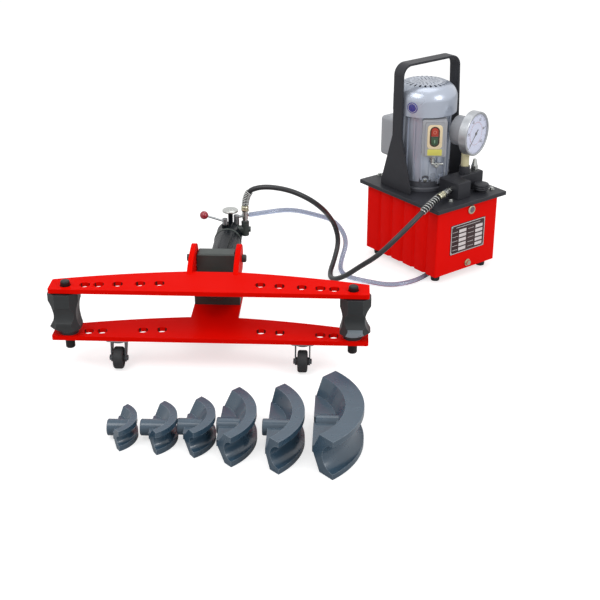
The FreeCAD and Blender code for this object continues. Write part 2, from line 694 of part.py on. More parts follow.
def ram_piston():
    """Return the piston, bored for the rod's stub and grooved for its seal."""
    outer = BORE_RADIUS - FIT_GAP
    hole = STUB_RADIUS + FIT_GAP
    seal = PISTON_LENGTH / 2
    stub_end = STUB_LENGTH + SEAT_GAP
    profile = [
        (hole, 0), (outer, 0), (outer, seal - PISTON_SEAL_WIDTH / 2), (outer - PISTON_SEAL_DEPTH, seal - PISTON_SEAL_WIDTH / 2),
        (outer - PISTON_SEAL_DEPTH, seal + PISTON_SEAL_WIDTH / 2), (outer, seal + PISTON_SEAL_WIDTH / 2),
        (outer, PISTON_LENGTH), (0, PISTON_LENGTH), (0, stub_end), (hole, stub_end),
    ]
    return turned(profile, (0, PISTON_FRONT, RAM_Z), Y_AXIS)


def return_spring():
    """Return the space that the return spring fills between the gland and the piston."""
    start = BLOCK_FRONT + GLAND_SPIGOT + SEAT_GAP
    length = PISTON_FRONT - SEAT_GAP - start
    profile = [
        (ROD_RADIUS + SPRING_WALL_GAP, 0), (BORE_RADIUS - SPRING_WALL_GAP, 0),
        (BORE_RADIUS - SPRING_WALL_GAP, length), (ROD_RADIUS + SPRING_WALL_GAP, length),
    ]
    return turned(profile, (0, start, RAM_Z), Y_AXIS)


def bleed_knob():
    """Return the mushroom knob on its screw stem."""
    top = SEAT_GAP + KNOB_HEIGHT
    profile = [
        (0, -KNOB_STEM_LENGTH), (KNOB_STEM_RADIUS, -KNOB_STEM_LENGTH), (KNOB_STEM_RADIUS, SEAT_GAP),
        (KNOB_NECK_RADIUS, SEAT_GAP), (KNOB_RADIUS, SEAT_GAP + KNOB_EDGE),
        (KNOB_RADIUS, top - KNOB_EDGE), (KNOB_CROWN_RADIUS, top), (0, top),
    ]
    return turned(profile, (KNOB_X, KNOB_Y, KNOB_NECK_TOP))


def lever_line():
    """Return the start, direction and length of the release lever's rod."""
    ball = Vector(*LEVER_BALL)
    start = Vector(VALVE_X, VALVE_Y, ball.z - LEVER_DROP)
    return start, (ball - start).normalize(), (ball - start).Length


def release_lever():
    """Return the release valve's spindle with the lever's rod screwed into its head."""
    head_base = VALVE_BOSS_TOP + SEAT_GAP
    spindle_base = VALVE_BOSS_TOP - VALVE_SPINDLE_DEPTH
    spindle = cylinder(VALVE_SPINDLE_RADIUS, VALVE_SPINDLE_DEPTH + OVERRUN, (VALVE_X, VALVE_Y, spindle_base))
    head = cylinder(VALVE_HEAD_RADIUS, VALVE_HEAD_HEIGHT, (VALVE_X, VALVE_Y, head_base))
    start, direction, length = lever_line()
    rod = cylinder(LEVER_RADIUS, length, start, direction)
    return joined([spindle, head, rod])


def lever_ball():
    """Return the ball at the lever's end, drilled for the rod."""
    start, direction, length = lever_line()
    ball = Part.makeSphere(LEVER_BALL_RADIUS, Vector(*LEVER_BALL))
    return ball.cut(cylinder(LEVER_RADIUS + FIT_GAP, length + SEAT_GAP, start, direction))


def hose_port(cap):
    """Return the swivel fitting that feeds oil into the cap, trimmed where it meets it."""
    column = cylinder(PORT_RADIUS, PORT_TOP_Z - PORT_HEX_HEIGHT - PORT_BOTTOM_Z, (PORT_X, PORT_Y, PORT_BOTTOM_Z))
    column = column.makeFillet(PORT_RADIUS / 3, flat_edges_at(column, PORT_BOTTOM_Z))
    top = hexagon(PORT_HEX_ACROSS, PORT_HEX_HEIGHT, (PORT_X, PORT_Y, PORT_TOP_Z - PORT_HEX_HEIGHT))
    arm = cylinder(PORT_RADIUS, PORT_X, (0, PORT_Y, PORT_ARM_Z), X_AXIS)
    plug_reach = PORT_X + PORT_RADIUS + PORT_PLUG_LENGTH
    plug = cylinder(PORT_PLUG_RADIUS, plug_reach, (0, PORT_Y, PORT_ARM_Z), X_AXIS)
    port = joined([column, top, arm, plug])
    inside = block((0, CAP_FRONT, 0), (PORT_X, CAP_REAR, RAM_Z + BARREL_RADIUS))
    bulk = cylinder(BARREL_RADIUS, CAP_LENGTH, (0, CAP_FRONT, RAM_Z), Y_AXIS).common(inside)
    return port.cut([bulk, cap])


def return_valve(cap, port):
    """Return the return line's valve with its barb for the clear hose."""
    start, following = Vector(*RETURN_ROUTE[0]), Vector(*RETURN_ROUTE[1])
    direction = (following - start).normalize()
    flat_reach = start.x - RETURN_VALVE_X
    reach = flat_reach / direction.x
    root = RAM_Z + BARREL_RADIUS / 2
    stem = cylinder(RETURN_VALVE_RADIUS, RETURN_VALVE_TOP - root, (RETURN_VALVE_X, RETURN_VALVE_Y, root))
    stem = stem.makeFillet(RETURN_VALVE_RADIUS / 3, flat_edges_at(stem, RETURN_VALVE_TOP))
    arm = cylinder(BARB_RADIUS, reach, start - direction * reach, direction)
    return largest(joined([stem, arm]).cut([cap, port]))


# Castors


def castor_centres():
    """Return the swivel axes of the three castors by name."""
    return {
        "left": (-CASTOR_X, CASTOR_Y),
        "right": (CASTOR_X, CASTOR_Y),
        "rear": (0.0, REAR_CASTOR_Y),
    }


def castor_levels():
    """Return the heights that a castor's pieces share."""
    plate = LOWER_WING_UNDERSIDE - CASTOR_PLATE_THICKNESS
    race = plate - CASTOR_RACE_HEIGHT
    crown_top = race - SEAT_GAP
    crown_bottom = crown_top - FORK_SHEET
    return plate, race, crown_top, crown_bottom


def castor_plates():
    """Return the three top plates, each with its race and kingpin."""
    plate_z, race_z, crown_top, crown_bottom = castor_levels()
    solids = []
    for x, y in castor_centres().values():
        half = CASTOR_PLATE / 2
        plate = block((x - half, y - half, plate_z), (x + half, y + half, LOWER_WING_UNDERSIDE))
        plate = plate.makeFillet(WING_CORNER_RADIUS, vertical_edges(plate))
        race = cylinder(CASTOR_RACE_RADIUS, CASTOR_RACE_HEIGHT, (x, y, race_z))
        pin_low = crown_bottom - SEAT_GAP
        pin = cylinder(KINGPIN_RADIUS, plate_z - pin_low, (x, y, pin_low))
        head = cylinder(KINGPIN_HEAD_RADIUS, KINGPIN_HEAD_HEIGHT, (x, y, pin_low - KINGPIN_HEAD_HEIGHT))
        solids.append(joined([plate, race, pin, head]))
    return Part.makeCompound(solids)


def castor_fork(x, y):
    """Return a pressed fork with its fixed axle, the wheel trailing towards the front."""
    plate_z, race_z, crown_top, crown_bottom = castor_levels()
    axle_y = y - CASTOR_TRAIL
    crown = cylinder(FORK_CROWN_RADIUS, FORK_SHEET, (x, y, crown_bottom))
    fork = crown.common(block((x - FORK_HALF_WIDTH, y - FORK_CROWN_RADIUS, crown_bottom),
                              (x + FORK_HALF_WIDTH, y + FORK_CROWN_RADIUS, crown_top)))
    parts = [fork]
    shoulder = FORK_CROWN_RADIUS - FORK_SHEET
    tilt = math.radians(30)
    low_y, low_z = FORK_FOOT_RADIUS * math.cos(tilt), FORK_FOOT_RADIUS * math.sin(tilt)
    for side_x in (x - FORK_HALF_WIDTH, x + FORK_HALF_WIDTH - FORK_SHEET):
        outline = [
            (side_x, y - shoulder, crown_top), (side_x, y + shoulder, crown_top),
            (side_x, y + shoulder, crown_bottom - FORK_SHEET),
            (side_x, axle_y + low_y, WHEEL_RADIUS - low_z),
            ("via", (side_x, axle_y, WHEEL_RADIUS - FORK_FOOT_RADIUS)),
            (side_x, axle_y - low_y, WHEEL_RADIUS - low_z),
            (side_x, y - shoulder, crown_bottom - FORK_SHEET),
        ]
        parts.append(slab(outline, Vector(FORK_SHEET, 0, 0)))
    reach = FORK_HALF_WIDTH + AXLE_NUT_LENGTH
    parts.append(cylinder(AXLE_RADIUS, 2 * FORK_HALF_WIDTH, (x - FORK_HALF_WIDTH, axle_y, WHEEL_RADIUS), X_AXIS))
    for nut_x in (x - reach, x + FORK_HALF_WIDTH):
        parts.append(hexagon(AXLE_NUT_RADIUS * HEX_CORNER_RATIO, AXLE_NUT_LENGTH, (nut_x, axle_y, WHEEL_RADIUS), X_AXIS))
    hole = cylinder(KINGPIN_RADIUS + RUNNING_GAP, CASTOR_TRAIL, (x, y, crown_bottom - OVERRUN))
    return joined(parts).cut(hole)


def castor_wheel(x, y):
    """Return a rubber-tyred wheel with a dished face and a hub."""
    half = WHEEL_WIDTH / 2
    hub = FORK_HALF_WIDTH - FORK_SHEET - SEAT_GAP
    bore = AXLE_RADIUS + RUNNING_GAP
    tread = WHEEL_RADIUS - TREAD_ROUNDING
    shoulder = TREAD_ROUNDING * (1 - math.sqrt(0.5))
    profile = [
        (bore, -hub), (WHEEL_HUB_RADIUS, -hub), (WHEEL_HUB_RADIUS, -half + WHEEL_DISH),
        (WHEEL_DISH_RADIUS, -half + WHEEL_DISH), (WHEEL_DISH_RADIUS, -half), (tread, -half),
        ("via", (WHEEL_RADIUS - shoulder, -half + shoulder)), (WHEEL_RADIUS, -half + TREAD_ROUNDING),
        (WHEEL_RADIUS, half - TREAD_ROUNDING),
        ("via", (WHEEL_RADIUS - shoulder, half - shoulder)), (tread, half),
        (WHEEL_DISH_RADIUS, half), (WHEEL_DISH_RADIUS, half - WHEEL_DISH),
        (WHEEL_HUB_RADIUS, half - WHEEL_DISH), (WHEEL_HUB_RADIUS, hub), (bore, hub),
    ]
    return turned(profile, (x, y - CASTOR_TRAIL, WHEEL_RADIUS), X_AXIS)


# Rollers


def roller(side):
    """Return a turning roller block, side +1 on the right; its deep groove faces outwards."""
    pin_x, y = side * HOLE_PLACES[-1], hole_y(HOLE_PLACES[-1])
    x = pin_x + side * ROLLER_OFFSET
    base_z = LOWER_WING_TOP + SEAT_GAP
    top_z = base_z + ROLLER_HEIGHT
    half_w, half_d, face = ROLLER_WIDTH / 2, ROLLER_DEPTH / 2, ROLLER_FACE_WIDTH / 2
    side_face = face * ROLLER_DEPTH / ROLLER_WIDTH
    corners = []
    for sx, sy in ((1, 1), (-1, 1), (-1, -1), (1, -1)):
        pair = [(x + sx * half_w, y + sy * side_face, base_z), (x + sx * face, y + sy * half_d, base_z)]
        corners += pair if sx * sy > 0 else pair[::-1]
    body = slab(corners, Vector(0, 0, ROLLER_HEIGHT))
    cone = [
        (0, 0), (ROLLER_FOOT_RADIUS, 0), (ROLLER_FOOT_RADIUS, ROLLER_FOOT_HEIGHT), (ROLLER_CONE_RADIUS, ROLLER_CONE_HEIGHT),
        (ROLLER_CONE_RADIUS, ROLLER_HEIGHT - ROLLER_CAP_CHAMFER),
        (ROLLER_CONE_RADIUS - ROLLER_CAP_CHAMFER, ROLLER_HEIGHT), (0, ROLLER_HEIGHT),
    ]
    body = body.common(turned(cone, (pin_x, y, base_z)))
    middle = base_z + ROLLER_HEIGHT / 2
    grooves = [
        (side * (half_w + ROLLER_DEEP_RADIUS - ROLLER_DEEP_GROOVE), ROLLER_DEEP_RADIUS),
        (-side * (half_w + ROLLER_GROOVE_RADIUS - ROLLER_SHALLOW_GROOVE), ROLLER_GROOVE_RADIUS),
    ]
    for offset, radius in grooves:
        body = body.cut(cylinder(radius, 2 * ROLLER_DEPTH, (x + offset, y - ROLLER_DEPTH, middle), Y_AXIS))
    reach = half_d + ROLLER_SMALL_GROOVE_RADIUS - ROLLER_SHALLOW_GROOVE
    for offset in (-reach, reach):
        body = body.cut(cylinder(ROLLER_SMALL_GROOVE_RADIUS, 2 * ROLLER_WIDTH, (x - ROLLER_WIDTH, y + offset, middle), X_AXIS))
    facet_x, beyond = x - ROLLER_WIDTH, half_d + OVERRUN
    for facing in (-1, 1):
        wedge = slab([
            (facet_x, y + facing * beyond, base_z - OVERRUN), (facet_x, y + facing * ROLLER_FACET_FOOT, base_z - OVERRUN),
            (facet_x, y + facing * ROLLER_FACET_FOOT, base_z), (facet_x, y + facing * half_d, base_z + ROLLER_FACET_HEIGHT),
            (facet_x, y + facing * beyond, base_z + ROLLER_FACET_HEIGHT),
        ], Vector(2 * ROLLER_WIDTH, 0, 0))
        body = body.cut(wedge)
    hole = cylinder(PIN_DIAMETER / 2 + RUNNING_GAP, ROLLER_HEIGHT + 2 * OVERRUN, (pin_x, y, base_z - OVERRUN))
    return body.cut(hole)


def roller_pins():
    """Return the two round-ended pins that stand through both wings and a roller."""
    low = LOWER_WING_UNDERSIDE - PIN_BELOW_WING
    high = UPPER_WING_TOP + PIN_ABOVE_WING
    pins = []
    for side in (-1, 1):
        x, y = side * HOLE_PLACES[-1], hole_y(HOLE_PLACES[-1])
        pin = cylinder(PIN_DIAMETER / 2, high - low, (x, y, low))
        pins.append(pin.makeFillet(PIN_ROUNDING, flat_edges_at(pin, low) + flat_edges_at(pin, high)))
    return Part.makeCompound(pins)


# Pump, modelled in its own axes: a along the plain front, b along the fluted side


def pump_place(shape):
    """Move a shape from the pump's own axes to its place behind the frame."""
    moved = shape.copy()
    placement = Placement(Vector(PUMP_X, PUMP_Y, 0), Rotation(Z_AXIS, PUMP_TURN_DEG))
    moved.Placement = placement.multiply(moved.Placement)
    return moved


def fluted_side(a, inward):
    """Return the outline points of a fluted tank side, from the front towards the rear."""
    points = []
    for index in range(FLUTE_COUNT):
        b = FLUTE_FIRST + index * FLUTE_PITCH
        points += [
            (a, b - FLUTE_HALF_WIDTH, TANK_BOTTOM), (a + inward * FLUTE_DEPTH, b - FLUTE_FLAT, TANK_BOTTOM),
            (a + inward * FLUTE_DEPTH, b + FLUTE_FLAT, TANK_BOTTOM), (a, b + FLUTE_HALF_WIDTH, TANK_BOTTOM),
        ]
    return points


def tank():
    """Return the folded sheet tank, open at the top, with pressed flutes on its long sides."""
    outline = [(0, 0, TANK_BOTTOM), (TANK_WIDTH, 0, TANK_BOTTOM)]
    outline += fluted_side(TANK_WIDTH, -1)
    outline += [(TANK_WIDTH, TANK_DEPTH, TANK_BOTTOM), (0, TANK_DEPTH, TANK_BOTTOM)]
    outline += fluted_side(0, 1)[::-1]
    shell = slab(outline, Vector(0, 0, TANK_TOP - TANK_BOTTOM))
    corners = [edge for edge in vertical_edges(shell)
               if edge.Vertexes[0].X in (0.0, TANK_WIDTH) and edge.Vertexes[0].Y in (0.0, TANK_DEPTH)]
    if corners:
        shell = shell.makeFillet(TANK_CORNER, corners)
    inside = block((TANK_WALL, TANK_WALL, TANK_BOTTOM + TANK_FLOOR),
                   (TANK_WIDTH - TANK_WALL, TANK_DEPTH - TANK_WALL, TANK_TOP + OVERRUN))
    return shell.cut(inside)


def tank_feet():
    """Return the four rubber feet."""
    profile = [(0, 0), (FOOT_RADIUS - FOOT_TAPER, 0), (FOOT_RADIUS, TANK_BOTTOM), (0, TANK_BOTTOM)]
    feet = []
    for a in (FOOT_INSET, TANK_WIDTH - FOOT_INSET):
        for b in (FOOT_INSET, TANK_DEPTH - FOOT_INSET):
            feet.append(turned(profile, (a, b, 0)))
    return Part.makeCompound(feet)


def top_plate():
    """Return the thick cover plate, with the hole that the pump unit hangs through."""
    low = (-PLATE_OVERHANG, -PLATE_OVERHANG, TANK_TOP)
    plate = block(low, (TANK_WIDTH + PLATE_OVERHANG, TANK_DEPTH + PLATE_OVERHANG, PLATE_TOP))
    plate = plate.makeFillet(PLATE_CORNER, vertical_edges(plate))
    plate = plate.makeChamfer(PLATE_THICKNESS / 8, flat_edges_at(plate, PLATE_TOP))
    hole = cylinder(UNIT_RADIUS / 2, PLATE_THICKNESS + 2 * OVERRUN, (MOTOR_A, MOTOR_B, TANK_TOP - OVERRUN))
    return plate.cut(hole)


def sight_glass():
    """Return the oil sight glass on the tank's front."""
    profile = [
        (0, 0), (SIGHT_RADIUS, 0), (SIGHT_RADIUS, SIGHT_DEPTH - SIGHT_WINDOW_DEPTH),
        (SIGHT_RADIUS - SIGHT_WINDOW_DEPTH, SIGHT_DEPTH), (SIGHT_WINDOW_RADIUS, SIGHT_DEPTH),
        (SIGHT_WINDOW_RADIUS, SIGHT_DEPTH - SIGHT_WINDOW_DEPTH), (0, SIGHT_DEPTH - SIGHT_WINDOW_DEPTH),
    ]
    return turned(profile, (SIGHT_A, 0, SIGHT_Z), Vector(0, -1, 0))


def drain_plug():
    """Return the hexagonal drain plug low on the tank's front."""
    flange = cylinder(DRAIN_FLANGE_RADIUS, DRAIN_FLANGE_DEPTH, (DRAIN_A, 0, DRAIN_Z), Vector(0, -1, 0))
    head = hexagon(DRAIN_ACROSS, DRAIN_FLANGE_DEPTH + DRAIN_HEAD_DEPTH, (DRAIN_A, 0, DRAIN_Z), Vector(0, -1, 0))
    return joined([flange, head])


def pump_unit():
    """Return the piston pump that hangs under the plate, with its coupling and suction pipe."""
    body = cylinder(UNIT_RADIUS, TANK_TOP - UNIT_BOTTOM, (MOTOR_A, MOTOR_B, UNIT_BOTTOM))
    collar = cylinder(UNIT_RADIUS / 2 - FIT_GAP, PLATE_THICKNESS, (MOTOR_A, MOTOR_B, TANK_TOP))
    pipe_a = MOTOR_A + UNIT_RADIUS / 2
    pipe = cylinder(SUCTION_RADIUS, UNIT_BOTTOM - SUCTION_BOTTOM, (pipe_a, MOTOR_B, SUCTION_BOTTOM))
    unit = joined([body, collar, pipe])
    return unit.cut(cylinder(COUPLING_RADIUS, TANK_TOP, (MOTOR_A, MOTOR_B, SHAFT_BOTTOM - 2 * PLATE_THICKNESS)))


def motor_flange():
    """Return the cast adapter ring between the plate and the motor."""
    edge = ADAPTER_HEIGHT / 4
    profile = [
        (COUPLING_RADIUS, 0), (ADAPTER_RADIUS, 0), (ADAPTER_RADIUS, ADAPTER_HEIGHT - edge),
        (ADAPTER_RADIUS - edge, ADAPTER_HEIGHT), (COUPLING_RADIUS, ADAPTER_HEIGHT),
    ]
    return turned(profile, (MOTOR_A, MOTOR_B, PLATE_TOP))


def motor_body():
    """Return the ribbed stator housing with its foot flange, bolt lugs and bearing shield."""
    base = PLATE_TOP + ADAPTER_HEIGHT
    centre = (MOTOR_A, MOTOR_B, 0)
    height = BODY_TOP - base
    core = BODY_RADIUS - RIB_HEIGHT
    shaft_hole = SHAFT_RADIUS + RUNNING_GAP
    profile = [
        (shaft_hole, 0), (FLANGE_RADIUS, 0), (FLANGE_RADIUS, FLANGE_HEIGHT - BODY_SHOULDER / 2),
        (core, FLANGE_HEIGHT), (core, height), (shaft_hole, height),
        (shaft_hole, height - BODY_SHOULDER), (core - BODY_WALL, height - BODY_SHOULDER),
        (core - BODY_WALL, FLANGE_HEIGHT), (shaft_hole, FLANGE_HEIGHT),
    ]
    shell = turned(profile, (MOTOR_A, MOTOR_B, base))
    rib = block((MOTOR_A + core - RIB_HEIGHT, MOTOR_B - RIB_HALF_WIDTH, base + FLANGE_HEIGHT + RIB_TOP_GAP),
                (MOTOR_A + BODY_RADIUS, MOTOR_B + RIB_HALF_WIDTH, COWL_BOTTOM - RIB_TOP_GAP))
    lug_a = MOTOR_A + FLANGE_RADIUS - LUG_RADIUS / 2
    lug = cylinder(LUG_RADIUS, LUG_HEIGHT, (lug_a, MOTOR_B, base + FLANGE_HEIGHT / 2))
    bolt_length = LUG_HEIGHT + LUG_BOLT_LENGTH
    bolt = cylinder(LUG_BOLT_RADIUS, bolt_length, (lug_a + LUG_RADIUS / 2, MOTOR_B, base + FLANGE_HEIGHT / 2))
    cowl_reach = COWL_RADIUS - COWL_SHEET - SEAT_GAP
    ear = block((MOTOR_A + core - RIB_HEIGHT, MOTOR_B - EAR_HALF_WIDTH, BODY_TOP - EAR_HEIGHT),
                (MOTOR_A + cowl_reach, MOTOR_B + EAR_HALF_WIDTH, BODY_TOP))
    pieces = [shell] + ring_of(rib, RIB_COUNT, centre, 180.0 / RIB_COUNT)
    pieces += ring_of(ear, EAR_COUNT, centre, 180.0 / EAR_COUNT)
    front_deg = -90.0
    pieces += ring_of(joined([lug, bolt]), LUG_COUNT, centre, front_deg)
    return joined(pieces)


def motor_cowl():
    """Return the domed fan cowl with its ring of air slots."""
    height = COWL_TOP - COWL_BOTTOM
    outer, inner, dome = COWL_RADIUS, COWL_RADIUS - COWL_SHEET, COWL_DOME
    bend = 1 - math.sqrt(0.5)
    inner_dome = dome - COWL_SHEET
    profile = [
        (inner, 0), (outer, 0), (outer, height - dome),
        ("via", (outer - dome * bend, height - dome * bend)), (outer - dome, height), (0, height),
        (0, height - COWL_SHEET), (outer - dome, height - COWL_SHEET),
        ("via", (inner - inner_dome * bend, height - COWL_SHEET - inner_dome * bend)), (inner, height - dome),
    ]
    cowl = turned(profile, (MOTOR_A, MOTOR_B, COWL_BOTTOM))
    slot = block((MOTOR_A + SLOT_INNER_RADIUS, MOTOR_B - SLOT_WIDTH / 2, COWL_TOP - dome / 2),
                 (MOTOR_A + SLOT_OUTER_RADIUS, MOTOR_B + SLOT_WIDTH / 2, COWL_TOP + OVERRUN))
    return cowl.cut(ring_of(slot, SLOT_COUNT, (MOTOR_A, MOTOR_B, 0)))


def motor_rotor():
    """Return the rotor on its stepped shaft."""
    shaft = cylinder(SHAFT_RADIUS, SHAFT_TOP - SHAFT_BOTTOM, (MOTOR_A, MOTOR_B, SHAFT_BOTTOM))
    stack = cylinder(ROTOR_RADIUS, ROTOR_TOP - ROTOR_BOTTOM, (MOTOR_A, MOTOR_B, ROTOR_BOTTOM))
    return joined([shaft, stack])


def motor_fan():
    """Return the bladed cooling fan on the rotor's upper end."""
    centre = (MOTOR_A, MOTOR_B, 0)
    plate = cylinder(FAN_RADIUS, FAN_PLATE, (MOTOR_A, MOTOR_B, FAN_BOTTOM))
    hub = cylinder(FAN_HUB_RADIUS, FAN_HUB_HEIGHT, (MOTOR_A, MOTOR_B, FAN_BOTTOM))
    blade = block((MOTOR_A + FAN_HUB_RADIUS - FAN_PLATE, MOTOR_B - FAN_BLADE_THICKNESS / 2, FAN_BOTTOM),
                  (MOTOR_A + FAN_RADIUS - FAN_PLATE, MOTOR_B + FAN_BLADE_THICKNESS / 2, FAN_BOTTOM + FAN_BLADE_HEIGHT))
    fan = joined([plate, hub] + ring_of(blade, FAN_BLADE_COUNT, centre))
    return fan.cut(cylinder(SHAFT_RADIUS + FIT_GAP, FAN_HUB_HEIGHT + 2 * OVERRUN, (MOTOR_A, MOTOR_B, FAN_BOTTOM - OVERRUN)))


def capacitor_box(body):
    """Return the rounded capacitor housing on the motor's rear side, hollowed to its curve."""
    low = (MOTOR_A - CAPACITOR_HALF_WIDTH, MOTOR_B, CAPACITOR_BOTTOM)
    high = (MOTOR_A + CAPACITOR_HALF_WIDTH, MOTOR_B + CAPACITOR_REACH, CAPACITOR_BOTTOM + CAPACITOR_HEIGHT)
    box = block(low, high)
    outer = [edge for edge in box.Edges if edge.BoundBox.YMin > MOTOR_B + CAPACITOR_REACH / 2]
    outer += [edge for edge in box.Edges if edge.BoundBox.YLength > CAPACITOR_REACH / 2]
    box = box.makeFillet(CAPACITOR_ROUNDING, outer)
    height = CAPACITOR_HEIGHT + 2 * OVERRUN
    hollow = cylinder(BODY_RADIUS - RIB_HEIGHT, height, (MOTOR_A, MOTOR_B, CAPACITOR_BOTTOM - OVERRUN))
    return largest(box.cut([hollow, body]))


def switch_place(shape):
    """Turn a piece of the switch about the motor's axis to its place."""
    turned_shape = shape.copy()
    turned_shape.rotate(Vector(MOTOR_A, MOTOR_B, 0), Z_AXIS, SWITCH_TURN_DEG)
    return turned_shape


def switch_button(centre_z):
    """Return one push button, flat-backed, rounded in front."""
    back = SWITCH_FRONT + BUTTON_LENGTH - BUTTON_PROUD
    low = (SWITCH_A - BUTTON_HALF_WIDTH, back - BUTTON_LENGTH, centre_z - BUTTON_HEIGHT / 2)
    high = (SWITCH_A + BUTTON_HALF_WIDTH, back, centre_z + BUTTON_HEIGHT / 2)
    button = block(low, high)
    front = [edge for edge in button.Edges if edge.BoundBox.YMax < back - BUTTON_LENGTH + RUNNING_GAP]
    return switch_place(button.makeFillet(BUTTON_ROUNDING, front))


def button_centres():
    """Return the heights of the stop and start buttons."""
    reach = (BUTTON_HEIGHT + BUTTON_PAIR_GAP) / 2
    return BUTTON_PAIR_Z + reach, BUTTON_PAIR_Z - reach


def switch_box(body):
    """Return the switch housing with its raised panel and the wells of the two buttons."""
    front = SWITCH_FRONT + SWITCH_PANEL_DEPTH
    low = (SWITCH_A - SWITCH_HALF_WIDTH, front, SWITCH_BOTTOM)
    box = block(low, (SWITCH_A + SWITCH_HALF_WIDTH, MOTOR_B, SWITCH_TOP))
    box = box.makeFillet(SWITCH_ROUNDING, [edge for edge in box.Edges if edge.BoundBox.YLength > SWITCH_ROUNDING])
    panel_half = SWITCH_HALF_WIDTH - SWITCH_PANEL_INSET
    panel_top = SWITCH_TOP - SWITCH_PANEL_INSET
    panel = block((SWITCH_A - panel_half, SWITCH_FRONT, SWITCH_BOTTOM + SWITCH_PANEL_DEPTH),
                  (SWITCH_A + panel_half, front, panel_top))
    panel = panel.makeFillet(SWITCH_ROUNDING, [edge for edge in panel.Edges
                                               if abs(edge.BoundBox.YLength - SWITCH_PANEL_DEPTH) < RUNNING_GAP
                                               and edge.BoundBox.ZLength < RUNNING_GAP])
    housing = joined([box, panel])
    well_end = SWITCH_FRONT + BUTTON_LENGTH - BUTTON_PROUD + BUTTON_TRAVEL + SEAT_GAP
    for centre_z in button_centres():
        gap = BUTTON_HALF_WIDTH + SEAT_GAP
        rise = BUTTON_HEIGHT / 2 + SEAT_GAP
        well = block((SWITCH_A - gap, SWITCH_FRONT - OVERRUN, centre_z - rise), (SWITCH_A + gap, well_end, centre_z + rise))
        housing = housing.cut(well)
    hollow = cylinder(BODY_RADIUS - RIB_HEIGHT, BODY_TOP, (MOTOR_A, MOTOR_B, 0))
    cowl_room = cylinder(COWL_RADIUS + SEAT_GAP, COWL_TOP, (MOTOR_A, MOTOR_B, COWL_BOTTOM - SEAT_GAP))
    return largest(switch_place(housing).cut([hollow, body, cowl_room]))


def carry_handle():
    """Return the bent flat-bar handle, its legs widened into gussets at the plate."""
    inset = HANDLE_THICKNESS
    outer = [(HANDLE_LEFT_FOOT, PLATE_TOP), (HANDLE_LEFT_TOP, HANDLE_TOP),
             (HANDLE_RIGHT_TOP, HANDLE_TOP), (HANDLE_RIGHT_FOOT, PLATE_TOP)]
    inner = [(HANDLE_RIGHT_FOOT - inset, PLATE_TOP), (HANDLE_RIGHT_TOP - inset, HANDLE_TOP - inset),
             (HANDLE_LEFT_TOP + inset, HANDLE_TOP - inset), (HANDLE_LEFT_FOOT + inset, PLATE_TOP)]
    rear = HANDLE_B + GUSSET_HALF_WIDTH
    strap = slab([(a, rear, z) for a, z in outer + inner], Vector(0, -2 * GUSSET_HALF_WIDTH, 0))
    bends = [edge for edge in strap.Edges
             if edge.BoundBox.YLength > GUSSET_HALF_WIDTH and edge.CenterOfMass.z > HANDLE_TOP - inset / 2]
    strap = strap.makeFillet(HANDLE_CORNER, bends)
    tight = [edge for edge in strap.Edges if edge.BoundBox.YLength > GUSSET_HALF_WIDTH
             and abs(edge.CenterOfMass.z - (HANDLE_TOP - inset)) < RUNNING_GAP and isinstance(edge.Curve, Part.Line)]
    strap = strap.makeFillet(HANDLE_CORNER - inset, tight)
    narrow, wide = HANDLE_HALF_WIDTH, GUSSET_HALF_WIDTH
    foot = (GUSSET_TOP - PLATE_TOP) / 12
    side_view = [
        (-OVERRUN, HANDLE_B - wide, PLATE_TOP), (-OVERRUN, HANDLE_B - wide, PLATE_TOP + foot),
        (-OVERRUN, HANDLE_B - narrow, GUSSET_TOP),
        (-OVERRUN, HANDLE_B - narrow, HANDLE_TOP + OVERRUN), (-OVERRUN, HANDLE_B + narrow, HANDLE_TOP + OVERRUN),
        (-OVERRUN, HANDLE_B + narrow, GUSSET_TOP), (-OVERRUN, HANDLE_B + wide, PLATE_TOP + foot),
        (-OVERRUN, HANDLE_B + wide, PLATE_TOP),
    ]
    return strap.common(slab(side_view, Vector(TANK_WIDTH + PLATE_OVERHANG + OVERRUN, 0, 0)))


def valve_block():
    """Return the L-shaped valve block on the plate."""
    outline = [
        (MANIFOLD_LEFT, MANIFOLD_FRONT, PLATE_TOP), (MANIFOLD_STEP, MANIFOLD_FRONT, PLATE_TOP),
        (MANIFOLD_STEP, MANIFOLD_STEP_B, PLATE_TOP), (MANIFOLD_RIGHT, MANIFOLD_STEP_B, PLATE_TOP),
        (MANIFOLD_RIGHT, MANIFOLD_REAR, PLATE_TOP), (MANIFOLD_LEFT, MANIFOLD_REAR, PLATE_TOP),
    ]
    body = slab(outline, Vector(0, 0, MANIFOLD_TOP - PLATE_TOP))
    body = body.makeChamfer(MANIFOLD_CHAMFER, flat_edges_at(body, MANIFOLD_TOP))
    room = cylinder(ADAPTER_RADIUS + SEAT_GAP, MANIFOLD_TOP, (MOTOR_A, MOTOR_B, PLATE_TOP - OVERRUN))
    return body.cut(room)


def relief_valve():
    """Return the hexagonal relief valve with its adjusting screw."""
    base = (RELIEF_A, RELIEF_B, MANIFOLD_TOP)
    body = hexagon(RELIEF_ACROSS, RELIEF_HEX_HEIGHT, base)
    cone = Part.makeCone(RELIEF_ACROSS / 2, RELIEF_SCREW_RADIUS, RELIEF_HEIGHT - RELIEF_HEX_HEIGHT,
                         Vector(RELIEF_A, RELIEF_B, MANIFOLD_TOP + RELIEF_HEX_HEIGHT))
    return joined([body, cone])


